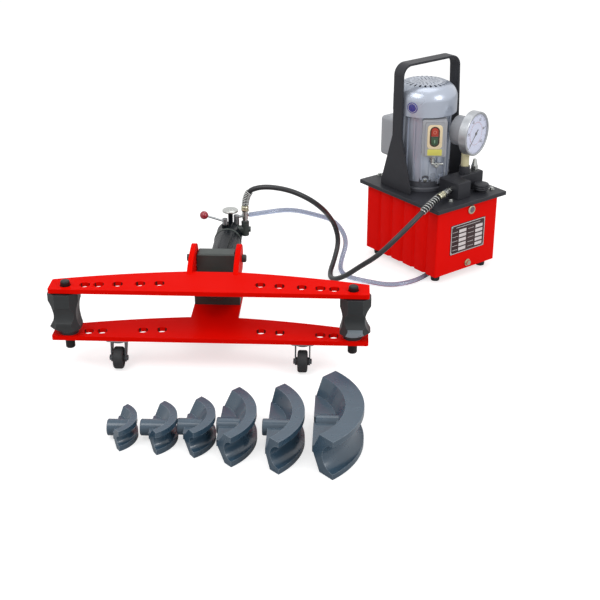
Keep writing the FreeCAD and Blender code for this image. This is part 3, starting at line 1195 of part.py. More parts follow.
def filler_cap():
    """Return the ridged breather cap that the oil is filled through."""
    rise = (FILLER_HEIGHT - FILLER_NECK_HEIGHT) / (2 * FILLER_RIDGES)
    profile = [(0, 0), (FILLER_NECK_RADIUS, 0), (FILLER_NECK_RADIUS, FILLER_NECK_HEIGHT)]
    level = FILLER_NECK_HEIGHT
    for _ in range(FILLER_RIDGES):
        profile += [(FILLER_RADIUS - FILLER_RIDGE, level), (FILLER_RADIUS, level + rise)]
        level += 2 * rise
    profile += [(FILLER_RADIUS - FILLER_RIDGE, level), (0, level + FILLER_RIDGE)]
    return turned(profile, (FILLER_A, FILLER_B, PLATE_TOP))


# Gauge, modelled about its stem with its face towards -Y, then turned


def gauge_place(shape):
    """Move a shape from the gauge's own axes to the pump's axes."""
    moved = shape.copy()
    placement = Placement(Vector(GAUGE_A, GAUGE_B, 0), Rotation(Z_AXIS, GAUGE_TURN_DEG))
    moved.Placement = placement.multiply(moved.Placement)
    return moved


def gauge_case():
    """Return the stepped gauge case with its rolled bezel, open in front for the dial."""
    front, rear = GAUGE_FRONT, GAUGE_CASE_REAR
    roll = (GAUGE_BEZEL_RADIUS - GAUGE_FACE_RADIUS) / 2
    profile = [
        (0, front + GAUGE_RECESS), (GAUGE_FACE_RADIUS, front + GAUGE_RECESS), (GAUGE_FACE_RADIUS, front),
        (GAUGE_BEZEL_RADIUS - roll, front), (GAUGE_BEZEL_RADIUS, front + roll), (GAUGE_BEZEL_RADIUS, GAUGE_BEZEL_REAR),
        (GAUGE_STEP_RADIUS, GAUGE_BEZEL_REAR), (GAUGE_STEP_RADIUS, GAUGE_STEP_REAR),
        (GAUGE_CASE_RADIUS, GAUGE_STEP_REAR), (GAUGE_CASE_RADIUS, rear - roll), (GAUGE_CASE_RADIUS - roll, rear), (0, rear),
    ]
    return gauge_place(turned(profile, (0, 0, GAUGE_Z), Y_AXIS))


def gauge_dial():
    """Return the dial plate at the bottom of the recess."""
    base_y = GAUGE_FRONT + GAUGE_RECESS - DIAL_THICKNESS
    return gauge_place(cylinder(GAUGE_FACE_RADIUS - FIT_GAP, DIAL_THICKNESS, (0, base_y, GAUGE_Z), Y_AXIS))


def gauge_needle():
    """Return the needle, at rest near the dial's lower left."""
    face_y = GAUGE_FRONT + GAUGE_RECESS - DIAL_THICKNESS - SEAT_GAP
    blade_y = face_y - NEEDLE_HUB_LENGTH + NEEDLE_THICKNESS
    blade = slab([(-NEEDLE_HALF_WIDTH, blade_y, GAUGE_Z + NEEDLE_TAIL), (NEEDLE_HALF_WIDTH, blade_y, GAUGE_Z + NEEDLE_TAIL),
                  (NEEDLE_HALF_WIDTH / 3, blade_y, GAUGE_Z - NEEDLE_LENGTH),
                  (-NEEDLE_HALF_WIDTH / 3, blade_y, GAUGE_Z - NEEDLE_LENGTH)], Vector(0, -NEEDLE_THICKNESS, 0))
    blade.rotate(Vector(0, 0, GAUGE_Z), Y_AXIS, NEEDLE_REST_DEG)
    hub = cylinder(NEEDLE_HUB_RADIUS, NEEDLE_HUB_LENGTH, (0, face_y - NEEDLE_HUB_LENGTH, GAUGE_Z), Y_AXIS)
    return gauge_place(joined([blade, hub]))


def gauge_stem(case):
    """Return the gauge's stem with its collar on the valve block, trimmed under the case."""
    collar = cylinder(STEM_COLLAR_RADIUS, STEM_COLLAR_HEIGHT, (GAUGE_A, GAUGE_B, MANIFOLD_TOP))
    stem = cylinder(STEM_RADIUS, GAUGE_Z - MANIFOLD_TOP, (GAUGE_A, GAUGE_B, MANIFOLD_TOP))
    return joined([collar, stem]).cut(case)


# Hoses and their fittings


def route_wire(route, label):
    """Return straight runs joined by tangent arcs along a route, and print the arcs' radii."""
    points = [Vector(*point) for point in route]
    edges, radii = [], []
    start = points[0]
    for before, corner, after in zip(points, points[1:], points[2:]):
        arrive, leave = (corner - before), (after - corner)
        turn = arrive.getAngle(leave)
        setback = ARC_SHARE * min(arrive.Length, leave.Length)
        arrive, leave = arrive.normalize(), leave.normalize()
        arc_start, arc_end = corner - arrive * setback, corner + leave * setback
        radius = setback / math.tan(turn / 2)
        inward = (leave - arrive).normalize()
        arc_middle = corner + inward * (math.hypot(radius, setback) - radius)
        edges.append(Part.LineSegment(start, arc_start).toShape())
        edges.append(Part.Arc(arc_start, arc_middle, arc_end).toShape())
        start = arc_end
        radii.append(round(radius, 1))
    edges.append(Part.LineSegment(start, points[-1]).toShape())
    print(label, "arc radii", radii)
    return Part.Wire(edges)


def hose(route, radius, label):
    """Return a hose as a round tube swept along its route, and print its length and volume check."""
    path = route_wire(route, label)
    start, following = Vector(*route[0]), Vector(*route[1])
    section = Part.Wire(Part.makeCircle(radius, start, following - start))
    tube = path.makePipeShell([section], True, False)
    print(label, "length", round(path.Length, 1), "volume ratio",
          round(tube.Volume / (math.pi * radius ** 2 * path.Length), 4))
    return tube


def helix_wire(radius, pitch, turns):
    """Return a helix about Z made of two tangent arcs for each quarter turn, and its points."""
    def at(angle):
        place = Vector(radius * math.cos(angle), radius * math.sin(angle), pitch * angle / (2 * math.pi))
        heading = Vector(-radius * math.sin(angle), radius * math.cos(angle), pitch / (2 * math.pi)).normalize()
        return place, heading

    def arc(start, control, end):
        chord = end - start
        half = chord.Length / 2
        reach = (control - start).Length
        middle = (start + end) * 0.5
        lean = math.acos(min(1.0, half / reach))
        away = (control - middle).normalize()
        return Part.Arc(start, middle + away * (half * math.tan(lean / 2)), end).toShape()

    edges, samples = [], []
    step = math.pi / 2
    for index in range(int(turns * 4)):
        (p0, t0), (p1, t1) = at(index * step), at((index + 1) * step)
        v, t = p1 - p0, t0 + t1
        dot = 1 - t0.dot(t1)
        reach = (-v.dot(t) + math.sqrt(v.dot(t) ** 2 + 2 * dot * v.dot(v))) / (2 * dot)
        control_0, control_1 = p0 + t0 * reach, p1 - t1 * reach
        joint = (control_0 + control_1) * 0.5
        edges += [arc(p0, control_0, joint), arc(joint, control_1, p1)]
        samples += [p0, joint]
    return Part.Wire(edges), samples


def spring_guard(base, direction, turns, label):
    """Return a round-wire spring that stands round the hose's end, and print its least gap."""
    radius = PRESSURE_HOSE_RADIUS + GUARD_HOSE_GAP + GUARD_WIRE_RADIUS
    path, samples = helix_wire(radius, GUARD_PITCH, turns)
    first = samples[0]
    heading = Vector(0, radius, GUARD_PITCH / (2 * math.pi))
    section = Part.Wire(Part.makeCircle(GUARD_WIRE_RADIUS, first, heading))
    coil = path.makePipeShell([section], True, False)
    per_turn = len(samples) // turns
    gaps = [(far - near).Length - 2 * GUARD_WIRE_RADIUS for near, far in zip(samples, samples[per_turn:])]
    print(label, "turns", turns, "least gap to itself", round(min(gaps), 2))
    lift = GUARD_WIRE_RADIUS + SEAT_GAP
    coil.Placement = Placement(Vector(*base) + direction * lift, Rotation(Z_AXIS, direction))
    return coil


def hose_guards():
    """Return the two spring guards at the ends of the pressure hose."""
    start, following = Vector(*PRESSURE_ROUTE[0]), Vector(*PRESSURE_ROUTE[1])
    end, before = Vector(*PRESSURE_ROUTE[-1]), Vector(*PRESSURE_ROUTE[-2])
    lower = spring_guard(start, (following - start).normalize(), CYLINDER_GUARD_TURNS, "cylinder guard")
    upper = spring_guard(end, (before - end).normalize(), PUMP_GUARD_TURNS, "pump guard")
    return Part.makeCompound([lower, upper])


def hose_ends(manifold):
    """Return the crimped hose ends and the elbow of the return line."""
    start = Vector(*PRESSURE_ROUTE[0])
    lower = turned([
        (0, 0), (FERRULE_NECK_RADIUS, 0), (FERRULE_NECK_RADIUS, FERRULE_NECK), (FERRULE_RADIUS, FERRULE_NECK),
        (FERRULE_RADIUS, start.z - PORT_TOP_Z), (0, start.z - PORT_TOP_Z),
    ], (PORT_X, PORT_Y, PORT_TOP_Z))
    end, before = Vector(*PRESSURE_ROUTE[-1]), Vector(*PRESSURE_ROUTE[-2])
    direction = (end - before).normalize()
    reach = 3 * CRIMP_LENGTH
    upper = turned([
        (0, 0), (CRIMP_RADIUS - CRIMP_STEP, 0), (CRIMP_RADIUS - CRIMP_STEP, CRIMP_STEP * 2), (CRIMP_RADIUS, CRIMP_STEP * 2),
        (CRIMP_RADIUS, CRIMP_LENGTH), (FERRULE_NECK_RADIUS, CRIMP_LENGTH),
        (FERRULE_NECK_RADIUS, CRIMP_LENGTH + FERRULE_NECK), (FERRULE_RADIUS, CRIMP_LENGTH + FERRULE_NECK),
        (FERRULE_RADIUS, reach), (0, reach),
    ], end, direction)
    pieces = [piece for piece in upper.cut(manifold).Solids if piece.CenterOfMass.distanceToPoint(end) < reach / 2]
    tail, last = Vector(*RETURN_ROUTE[-1]), Vector(*RETURN_ROUTE[-2])
    heading = (tail - last).normalize()
    arm = cylinder(RETURN_ELBOW_RADIUS, RETURN_ELBOW_REACH, tail, heading)
    turn = tail + heading * RETURN_ELBOW_REACH
    ball = Part.makeSphere(RETURN_ELBOW_RADIUS, turn)
    riser = cylinder(RETURN_ELBOW_RADIUS, TANK_BOTTOM - turn.z, turn)
    return Part.makeCompound([lower, pieces[0], joined([arm, ball, riser])])


# Formers


def former(pipe, chord, rise, lip, ridge_depth, depth, crown):
    """Return a bending former that lies flat, its grooved arc towards +X."""
    radius = (chord * chord / 4 + rise * rise) / (2 * rise)
    half_angle = math.degrees(math.asin(chord / (2 * radius)))
    height = pipe + 2 * FORMER_LIP_HEIGHT
    middle, groove = height / 2, pipe / 2
    inner = radius - lip
    ridge = inner - ridge_depth
    section = [
        (radius, 0, 0), (radius, 0, FORMER_LIP_HEIGHT), ("via", (radius - groove, 0, middle)),
        (radius, 0, height - FORMER_LIP_HEIGHT), (radius, 0, height), (inner, 0, height),
        (ridge, 0, middle), (inner, 0, 0),
    ]
    body = Part.Face(loop(section)).revolve(Vector(0, 0, 0), Z_AXIS, 2 * half_angle)
    body.rotate(Vector(0, 0, 0), Z_AXIS, -half_angle)
    socket_end = radius - depth
    boss_length = inner - socket_end
    boss = cylinder(FORMER_SOCKET_RADIUS, boss_length, (socket_end, 0, middle), X_AXIS)
    boss = boss.makeChamfer(FORMER_LIP_HEIGHT / 8, [edge for edge in boss.Edges if edge.BoundBox.XMax < socket_end + RUNNING_GAP])
    web_x, web_y = ridge * math.cos(math.radians(half_angle)), ridge * math.sin(math.radians(half_angle))
    low = middle - FORMER_WEB / 2
    web = slab([(web_x, -web_y, low), ("via", (inner - SEAT_GAP, 0, low)), (web_x, web_y, low)], Vector(0, 0, FORMER_WEB))
    body = joined([body, boss, web])
    hole = NOSE_RADIUS + FORMER_SOCKET_GAP
    body = body.cut(cylinder(hole, FORMER_SOCKET_DEPTH + OVERRUN, (socket_end - OVERRUN, 0, middle), X_AXIS))
    body.translate(Vector(crown[0] - radius, crown[1], 0))
    return body


def build_frame():
    """Return the bending frame's pieces by name."""
    cap = cylinder_end_cap()
    port = hose_port(cap)
    pieces = {
        "lower_wing": lower_wing(), "upper_wing": upper_wing(), "wing_ears": wing_ears(),
        "cylinder_block": cylinder_block(), "frame_bolts": Part.makeCompound([hinge_bolt()] + block_bolts()),
        "cylinder_barrel": cylinder_barrel(), "cylinder_gland": cylinder_gland(),
        "cylinder_end_ring": cylinder_end_ring(), "cylinder_end_cap": cap,
        "ram_rod": ram_rod(), "ram_piston": ram_piston(), "return_spring": return_spring(),
        "release_lever": release_lever(), "lever_ball": lever_ball(),
        "bleed_knob": bleed_knob(), "hose_port": port, "return_valve": return_valve(cap, port),
        "roller_left": roller(-1), "roller_right": roller(1),
        "roller_pins": roller_pins(), "castor_plates": castor_plates(),
    }
    for name, (x, y) in castor_centres().items():
        pieces["castor_fork_" + name] = castor_fork(x, y)
        pieces["castor_wheel_" + name] = castor_wheel(x, y)
    return pieces


def build_pump():
    """Return the pump's pieces by name, in place."""
    body = motor_body()
    case = gauge_case()
    pieces = {
        "tank": tank(), "tank_feet": tank_feet(), "top_plate": top_plate(), "sight_glass": sight_glass(),
        "drain_plug": drain_plug(), "pump_unit": pump_unit(), "motor_flange": motor_flange(),
        "motor_body": body, "motor_cowl": motor_cowl(), "motor_rotor": motor_rotor(), "motor_fan": motor_fan(),
        "capacitor_box": capacitor_box(body), "switch_box": switch_box(body),
        "stop_button": switch_button(button_centres()[0]), "start_button": switch_button(button_centres()[1]),
        "carry_handle": carry_handle(), "valve_block": valve_block(), "relief_valve": relief_valve(),
        "filler_cap": filler_cap(), "gauge_case": case, "gauge_dial": gauge_dial(),
        "gauge_needle": gauge_needle(), "gauge_stem": gauge_stem(case),
    }
    return {name: pump_place(shape) for name, shape in pieces.items()}


def build_hoses(manifold):
    """Return the hoses with their guards and ends."""
    return {
        "pressure_hose": hose(PRESSURE_ROUTE, PRESSURE_HOSE_RADIUS, "pressure hose"),
        "return_hose": hose(RETURN_ROUTE, RETURN_HOSE_RADIUS, "return hose"),
        "hose_guards": hose_guards(),
        "hose_ends": hose_ends(manifold),
    }


def build_formers():
    """Return the six bending formers."""
    return {"former_%d" % (index + 1): former(*row) for index, row in enumerate(FORMER_TABLE)}


def build_all():
    """Return every piece in the modelling axes, the hoses and what is on them last."""
    pieces = build_frame()
    pieces.update(build_pump())
    pieces.update(build_formers())
    return pieces, build_hoses(pieces["valve_block"])


def origin_of(pieces):
    """Return the point on the floor under the middle of the pieces' common box."""
    boxes = [shape.optimalBoundingBox(False) for shape in pieces.values()]
    x = (min(box.XMin for box in boxes) + max(box.XMax for box in boxes)) / 2
    y = (min(box.YMin for box in boxes) + max(box.YMax for box in boxes)) / 2
    return Vector(x, y, 0)


def main():
    """Build, place and export every piece."""
    os.makedirs("parts", exist_ok=True)
    pieces, hoses = build_all()
    origin = origin_of(pieces)
    print("origin", round(origin.x, 4), round(origin.y, 4))
    pieces.update(hoses)
    for name, shape in pieces.items():
        shape.translate(origin * -1)
        shape.exportStep("parts/%s.step" % name)
        print(name, "valid" if shape.isValid() else "NOT VALID", len(shape.Solids), round(shape.Volume / 1000, 2))
    print(len(pieces), "pieces")


main()
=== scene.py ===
"""Looks of an electric hydraulic pipe bender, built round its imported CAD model.

The bending frame, the pump and the gauge each have their own axes, in millimetres,
and a seat matrix that sets them into the model's frame, in metres.
"""

from __future__ import annotations

import json
import logging
import math
from contextlib import contextmanager
from dataclasses import dataclass
from enum import Enum
from typing import Callable, Iterator, Mapping, Sequence

import bmesh
import bpy
from mathutils import Matrix, Vector

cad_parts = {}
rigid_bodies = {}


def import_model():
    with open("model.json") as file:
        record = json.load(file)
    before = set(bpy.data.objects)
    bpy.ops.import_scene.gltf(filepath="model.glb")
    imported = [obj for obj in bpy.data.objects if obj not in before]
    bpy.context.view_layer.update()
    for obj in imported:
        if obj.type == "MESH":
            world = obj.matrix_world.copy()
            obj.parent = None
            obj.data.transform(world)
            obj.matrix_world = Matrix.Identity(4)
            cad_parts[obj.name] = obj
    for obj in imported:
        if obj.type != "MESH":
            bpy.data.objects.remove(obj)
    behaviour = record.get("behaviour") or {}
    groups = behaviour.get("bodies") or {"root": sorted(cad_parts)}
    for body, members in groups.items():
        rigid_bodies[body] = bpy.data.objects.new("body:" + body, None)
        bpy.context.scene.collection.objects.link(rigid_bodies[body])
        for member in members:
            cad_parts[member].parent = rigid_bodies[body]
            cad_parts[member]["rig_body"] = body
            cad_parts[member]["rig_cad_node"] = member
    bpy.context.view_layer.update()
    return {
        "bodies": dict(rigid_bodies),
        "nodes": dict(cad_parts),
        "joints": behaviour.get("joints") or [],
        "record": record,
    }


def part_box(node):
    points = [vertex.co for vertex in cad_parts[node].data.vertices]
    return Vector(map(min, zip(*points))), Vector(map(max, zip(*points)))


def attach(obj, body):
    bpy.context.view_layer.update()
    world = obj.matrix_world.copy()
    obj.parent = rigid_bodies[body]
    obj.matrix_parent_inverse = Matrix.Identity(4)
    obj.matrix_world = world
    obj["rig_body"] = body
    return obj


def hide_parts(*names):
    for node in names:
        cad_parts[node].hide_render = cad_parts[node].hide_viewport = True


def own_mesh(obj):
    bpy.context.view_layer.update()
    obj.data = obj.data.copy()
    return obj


LOG = logging.getLogger("pipe_bender")
MM = 0.001
X_AXIS, Y_AXIS, Z_AXIS = Vector((1, 0, 0)), Vector((0, 1, 0)), Vector((0, 0, 1))
TO_MINUS_Y = (math.pi / 2, 0, 0)
TO_X = (0, math.pi / 2, 0)

# Seats of the sets of axes: the switch's own axes start at the middle of its panel
BENCH_SHIFT = Vector((-0.1775037, -0.2163205, 0.0))
PUMP_PLACE = Vector((0.5257, 0.4836, 0.0))
PUMP_TURN = math.radians(40)
GAUGE_PLACE = Vector((0.151, 0.066, 0.0))
GAUGE_TURN = math.radians(14)
MOTOR_PLACE = Vector((0.096, 0.167, 0.0))
SWITCH_TURN = math.radians(-38)
SWITCH_PLACE = Vector((0.020, -0.085, 0.0))
BENCH = Matrix.Translation(BENCH_SHIFT)
PUMP = BENCH @ Matrix.Translation(PUMP_PLACE) @ Matrix.Rotation(PUMP_TURN, 4, "Z")
GAUGE = PUMP @ Matrix.Translation(GAUGE_PLACE) @ Matrix.Rotation(GAUGE_TURN, 4, "Z")
MOTOR_SEAT = PUMP @ Matrix.Translation(MOTOR_PLACE)
SWITCH = MOTOR_SEAT @ Matrix.Rotation(SWITCH_TURN, 4, "Z") @ Matrix.Translation(SWITCH_PLACE)

MERGE_GAP = 1e-5
FLAT_DEGREES = 0.6

Point = tuple[float, float, float]
# Radius and height pairs of a turned piece
Profile = Sequence[tuple[float, float]]
# Lowest and highest corner of a plate, and the radius of its corners
Slab = tuple[Point, Point, float]


class Body(str, Enum):
    """The bodies that the new pieces ride on."""

    FRAME = "frame"
    NEEDLE = "needle"
    STOP = "stop"
    START = "start"


def linear(code: str) -> tuple[float, float, float, float]:
    """Turn an sRGB hex code into a linear colour.

    Args:
        code: Six hex digits after a hash.

    Returns:
        Linear red, green, blue and an alpha of 1.
    """
    parts = [int(code[i : i + 2], 16) / 255 for i in (1, 3, 5)]
    levels = [p / 12.92 if p <= 0.04045 else ((p + 0.055) / 1.055) ** 2.4 for p in parts]
    return (*levels, 1.0)


def add(tree: bpy.types.NodeTree, kind: str, inputs: Mapping = {}, **settings) -> bpy.types.Node:
    """Add a node with its settings, constants and links.

    Args:
        tree: The node tree.
        kind: The node's type name.
        inputs: Socket name or number to a constant or to another node's output socket.
        **settings: Properties of the node.

    Returns:
        The new node.
    """
    node = tree.nodes.new(kind)
    for name, value in settings.items():
        setattr(node, name, value)
    for name, value in inputs.items():
        if isinstance(value, bpy.types.NodeSocket):
            tree.links.new(value, node.inputs[name])
        else:
            node.inputs[name].default_value = value
    return node


@dataclass(frozen=True)
class Finish:
    """A surface finish: what it is made of and how its surface was made."""

    name: str
    tone: str
    cloud_tone: str
    roughness: tuple[float, float]
    cloud_mm: float = 60.0
    grain_mm: float = 1.5
    grain_rise_mm: float = 0.02
    metallic: float = 0.0
    specular: float = 0.5
    ior: float = 1.5
    coat: float = 0.0
    coat_roughness: float = 0.08
    stretch: Point = (1.0, 1.0, 1.0)
    # Pale tone at the edges: rubbed wear, and also a painted highlight along edges that catch the
    # light
    edge_wear_and_glint_tone: str = ""
    edge_mm: float = 1.0
    edge_share: float = 0.5

    def build(self) -> bpy.types.Material:
        """Build the finish as a material.

        Returns:
            The material, with all its nodes.
        """
        material = bpy.data.materials.new(self.name)
        material.use_nodes = True
        tree = material.node_tree
        tree.nodes.clear()
        shader = add(
            tree,
            "ShaderNodeBsdfPrincipled",
            {"Metallic": self.metallic, "Specular IOR Level": self.specular},
        )
        if not self.metallic:
            shader.inputs["IOR"].default_value = self.ior
        if self.coat:
            shader.inputs["Coat Weight"].default_value = self.coat
            shader.inputs["Coat Roughness"].default_value = self.coat_roughness
        add(tree, "ShaderNodeOutputMaterial", {"Surface": shader.outputs["BSDF"]})
        self.dress(tree, shader)
        return material

    def dress(self, tree: bpy.types.NodeTree, shader: bpy.types.Node) -> None:
        """Add colour clouds, a roughness that wanders with them, and a fine grain.

        Args:
            tree: The material's node tree.
            shader: Its Principled node.
        """
        place = add(tree, "ShaderNodeTexCoord").outputs["Object"]
        along = add(tree, "ShaderNodeMapping", {"Vector": place, "Scale": self.stretch})
        clouds = add(
            tree,
            "ShaderNodeTexNoise",
            {"Vector": along.outputs["Vector"], "Scale": 1 / (self.cloud_mm * MM), "Detail": 4.0},
        )
        colour = add(
            tree,
            "ShaderNodeMix",
            {0: clouds.outputs["Fac"], 6: linear(self.tone), 7: linear(self.cloud_tone)},
            data_type="RGBA",
        )
        tint = colour.outputs[2]
        # Edges are lightened, partly as wear and partly as a painted highlight
        if self.edge_wear_and_glint_tone:
            tint = self.rubbed_and_glinting_edges(tree, tint, place)
        tree.links.new(tint, shader.inputs["Base Color"])
        gloss = add(
            tree,
            "ShaderNodeMapRange",
            {
                "Value": clouds.outputs["Fac"],
                "From Min": 0.3,
                "From Max": 0.7,
                "To Min": self.roughness[0],
                "To Max": self.roughness[1],
            },
        )
        tree.links.new(gloss.outputs["Result"], shader.inputs["Roughness"])
        grain = add(
            tree,
            "ShaderNodeTexNoise",
            {"Vector": along.outputs["Vector"], "Scale": 1 / (self.grain_mm * MM), "Detail": 2.0},
        )
        bump = add(
            tree,
            "ShaderNodeBump",
            {"Height": grain.outputs["Fac"], "Distance": self.grain_rise_mm * MM, "Strength": 1.0},
        )
        tree.links.new(bump.outputs["Normal"], shader.inputs["Normal"])

    def rubbed_and_glinting_edges(
        self, tree: bpy.types.NodeTree, tint: bpy.types.NodeSocket, place: bpy.types.NodeSocket
    ) -> bpy.types.NodeSocket:
        """Brighten the edges, partly as rubbed wear and partly as a painted highlight where edges
        catch the light.

        Args:
            tree: The material's node tree.
            tint: The colour away from the edges.
            place: The object coordinates.

        Returns:
            The colour with its edges lightened, partly as rubbed wear and partly as painted
            highlight.
        """
        soft = add(tree, "ShaderNodeBevel", {"Radius": self.edge_mm * MM}, samples=4)
        sharp = add(tree, "ShaderNodeNewGeometry").outputs["Normal"]
        facing = add(
            tree,
            "ShaderNodeVectorMath",
            {0: soft.outputs["Normal"], 1: sharp},
            operation="DOT_PRODUCT",
        )
        patches = add(
            tree, "ShaderNodeTexNoise", {"Vector": place, "Scale": 1 / (9 * MM), "Detail": 5.0}
        )
        edge = add(
            tree,
            "ShaderNodeMapRange",
            {"Value": facing.outputs["Value"], "From Min": 0.97, "From Max": 0.86},
        )
        # Edge mask broken into patches: the wear, which also carries the painted edge highlight
        wear_and_glint = add(
            tree,
            "ShaderNodeMath",
            {0: edge.outputs["Result"], 1: patches.outputs["Fac"]},
            operation="MULTIPLY",
        )
        share = add(
            tree,
            "ShaderNodeMath",
            {0: wear_and_glint.outputs["Value"], 1: 2 * self.edge_share},
            operation="MULTIPLY",
            use_clamp=True,
        )
        mixed = add(
            tree,
            "ShaderNodeMix",
            {0: share.outputs["Value"], 6: tint, 7: linear(self.edge_wear_and_glint_tone)},
            data_type="RGBA",
        )
        return mixed.outputs[2]


@dataclass(frozen=True)
class ClearFinish(Finish):
    """A see-through finish, such as gauge glass or clear hose."""

    transmission: float = 1.0
    alpha: float = 1.0

    def build(self) -> bpy.types.Material:
        """Build the finish as a material that light passes through.

        Returns:
            The material, with all its nodes.
        """
        material = super().build()
        shader = next(n for n in material.node_tree.nodes if n.type == "BSDF_PRINCIPLED")
        shader.inputs["Transmission Weight"].default_value = self.transmission
        shader.inputs["Alpha"].default_value = self.alpha
        return material


# Sprayed gloss enamel on mild steel plate: an even strong red with a faint orange peel
RED = Finish(
    "sprayed_red_enamel", "#E60C02", "#DE0A02", (0.34, 0.42), 90, 2.2, 0.012, specular=0.012
)
# The same enamel on the folded tank sheet, a little deeper
TANK_RED = Finish(
    "sprayed_tank_enamel", "#F0100A", "#E60E08", (0.3, 0.38), 120, 2.2, 0.012, specular=0.03
)
# Satin black enamel on plate and flat bar: charcoal under soft light, fine peel
BLACK = Finish(
    "satin_black_enamel", "#2E2F35", "#25262B", (0.42, 0.52), 70, 1.6, 0.02, specular=0.35
)
# Gloss black enamel on the cylinder tube: deep with sharp pale reflections
CYLINDER = Finish(
    "gloss_cylinder_enamel", "#10151B", "#0C1015", (0.22, 0.28), 60, 3.0, 0.001, specular=0.12
)
# Black-oxide machined steel: grey-black, slightly oily, edges rubbed bright and lightened further
# as a painted highlight where they glint
OXIDE = Finish(
    "black_oxide_steel", "#3A423F", "#313836", (0.38, 0.5), 40, 0.9, 0.015, specular=0.4,
    edge_wear_and_glint_tone="#6D7577", edge_mm=1.0,
)
# Bright turned steel: white metal with fine tool marks round it
BRIGHT = Finish(
    "turned_steel", "#C9CBC8", "#B4B6B4", (0.2, 0.32), 25, 0.8, 0.01, metallic=1.0,
    stretch=(1, 1, 3),
)
# Zinc-plated pressed steel: pale blue-grey with a soft spangle
ZINC = Finish("zinc_plated_steel", "#A9ACAE", "#8F9396", (0.28, 0.42), 12, 0.7, 0.01, metallic=1.0)
# Moulded phenolic ball: glossy wine red
BALL = Finish("phenolic_ball", "#A31C2C", "#93162A", (0.16, 0.22), 10, 1.0, 0.004, coat=0.5)
# Blackened cast iron of the rollers: coarse skin, dark grey, edges lightened partly as wear and
# partly as a painted highlight
ROLLER = Finish(
    "blackened_cast_iron", "#2F3234", "#262829", (0.36, 0.5), 22, 1.1, 0.05, specular=0.4,
    edge_wear_and_glint_tone="#7C8389", edge_mm=1.2,
)
# Blue-grey painted cast iron of the formers: satin paint over a sand-cast skin, its pale edges
# partly wear and partly a painted highlight along the lips
FORMER = Finish(
    "painted_cast_iron", "#385063", "#2E4353", (0.24, 0.34), 28, 1.6, 0.012, specular=0.6,
    coat=0.3, coat_roughness=0.12, edge_wear_and_glint_tone="#A9B6C0", edge_mm=1.6, edge_share=0.45,
)
# Black vulcanised rubber of tyres and feet: matt with a dusty bloom
RUBBER = Finish("vulcanised_rubber", "#26272A", "#1F2022", (0.6, 0.72), 15, 0.8, 0.03)
# Aluminium-grey hammer paint of the motor: metal flake in a smooth clear layer
MOTOR = Finish(
    "aluminium_flake_paint", "#B9C1CF", "#AFB7C6", (0.26, 0.32), 80, 0.9, 0.003, metallic=0.42,
    coat=0.3, coat_roughness=0.1,
)
# Grey-painted die-cast shell of the switch and capacitor housing
HOUSING = Finish(
    "grey_shell_paint", "#A9ABB0", "#9C9EA3", (0.34, 0.42), 40, 1.4, 0.02, specular=0.4
)
# Moulded ABS of the switch panel: warm cream
CREAM = Finish("cream_abs", "#EBD9B4", "#E2CEA6", (0.38, 0.46), 14, 0.5, 0.01)
# Moulded thermoplastic push buttons
STOP_RED = Finish("red_button_plastic", "#B5402C", "#A53624", (0.3, 0.38), 8, 0.5, 0.006)
START_GREEN = Finish("green_button_plastic", "#3E5A40", "#344C37", (0.3, 0.38), 8, 0.5, 0.006)
# Printed aluminium dial: white lacquer with a faint cool cast
DIAL = Finish("lacquered_dial", "#DEE3FA", "#D6DCF4", (0.4, 0.46), 50, 1.0, 0.002)
# Printing ink
INK = Finish("black_ink", "#20222B", "#1B1D25", (0.45, 0.5), 10, 0.5, 0.001)
RED_INK = Finish("red_ink", "#B03A50", "#A83449", (0.45, 0.5), 10, 0.5, 0.001)
# Nickel-plated brass of the crimped sleeves and the tank's fittings: warm grey metal
NICKEL = Finish(
    "nickel_plated_brass", "#D6D3BE", "#BDB99C", (0.16, 0.28), 10, 0.6, 0.008, metallic=1.0
)
# Motor foot and lugs: dark grey cast enamel
FOOT = Finish(
    "dark_grey_casting_enamel", "#54565D", "#484A50", (0.34, 0.44), 30, 1.4, 0.03, specular=0.5
)
# Pin ends and heads: black-dipped steel
PIN = Finish("black_dipped_steel", "#1C1718", "#151112", (0.36, 0.46), 12, 0.8, 0.01, specular=0.3)
# Walls of the pin holes: the red enamel darkened to a painted shade, where the holes fall into
# shadow
HOLE_SHADE = Finish("hole_wall_painted_shade", "#5A0A06", "#450805", (0.5, 0.6), 8, 0.7, 0.02, specular=0.2)
# Low flat facets of the right roller: steel painted pale steel blue as a painted highlight on those
# faces
FACET_HIGHLIGHT = Finish("facet_painted_highlight", "#98A3AB", "#87929A", (0.26, 0.36), 10, 0.6, 0.01, metallic=0.6)
# Castor forks: zinc plate dulled almost black, bright at the edges, partly where it has rubbed and
# partly as a painted highlight
FORK = Finish(
    "dulled_fork_plate", "#4B4D52", "#3C3E43", (0.3, 0.42), 18, 0.8, 0.02, metallic=0.5,
    edge_wear_and_glint_tone="#B4B8BC", edge_mm=1.2, edge_share=0.7,
)
# Black rubber hose cover with the faint print of its cloth wrap
HOSE = Finish("hose_cover_rubber", "#2B2D30", "#222427", (0.34, 0.46), 20, 1.4, 0.05, specular=0.5)
# Cream lacquered stem under the gauge
CREAM_STEM = Finish("cream_sealant_stem", "#D9D3AE", "#C7BF95", (0.4, 0.5), 8, 0.8, 0.02)
# Deep blue enamelled disc
BLUE = Finish("blue_enamel", "#3E4390", "#363A82", (0.25, 0.32), 8, 0.6, 0.004, coat=0.4)
# Yellow printed foil
YELLOW = Finish("yellow_foil", "#D9D36A", "#D0C95C", (0.42, 0.5), 12, 0.7, 0.003)
# Dark anodised plate with white lines
PLATE_DARK = Finish(
    "anodised_plate", "#3A1F22", "#2E191C", (0.34, 0.42), 14, 0.6, 0.004, specular=0.4
)
WHITE_INK = Finish("white_ink", "#E4DDDD", "#DAD2D2", (0.45, 0.5), 10, 0.5, 0.001)
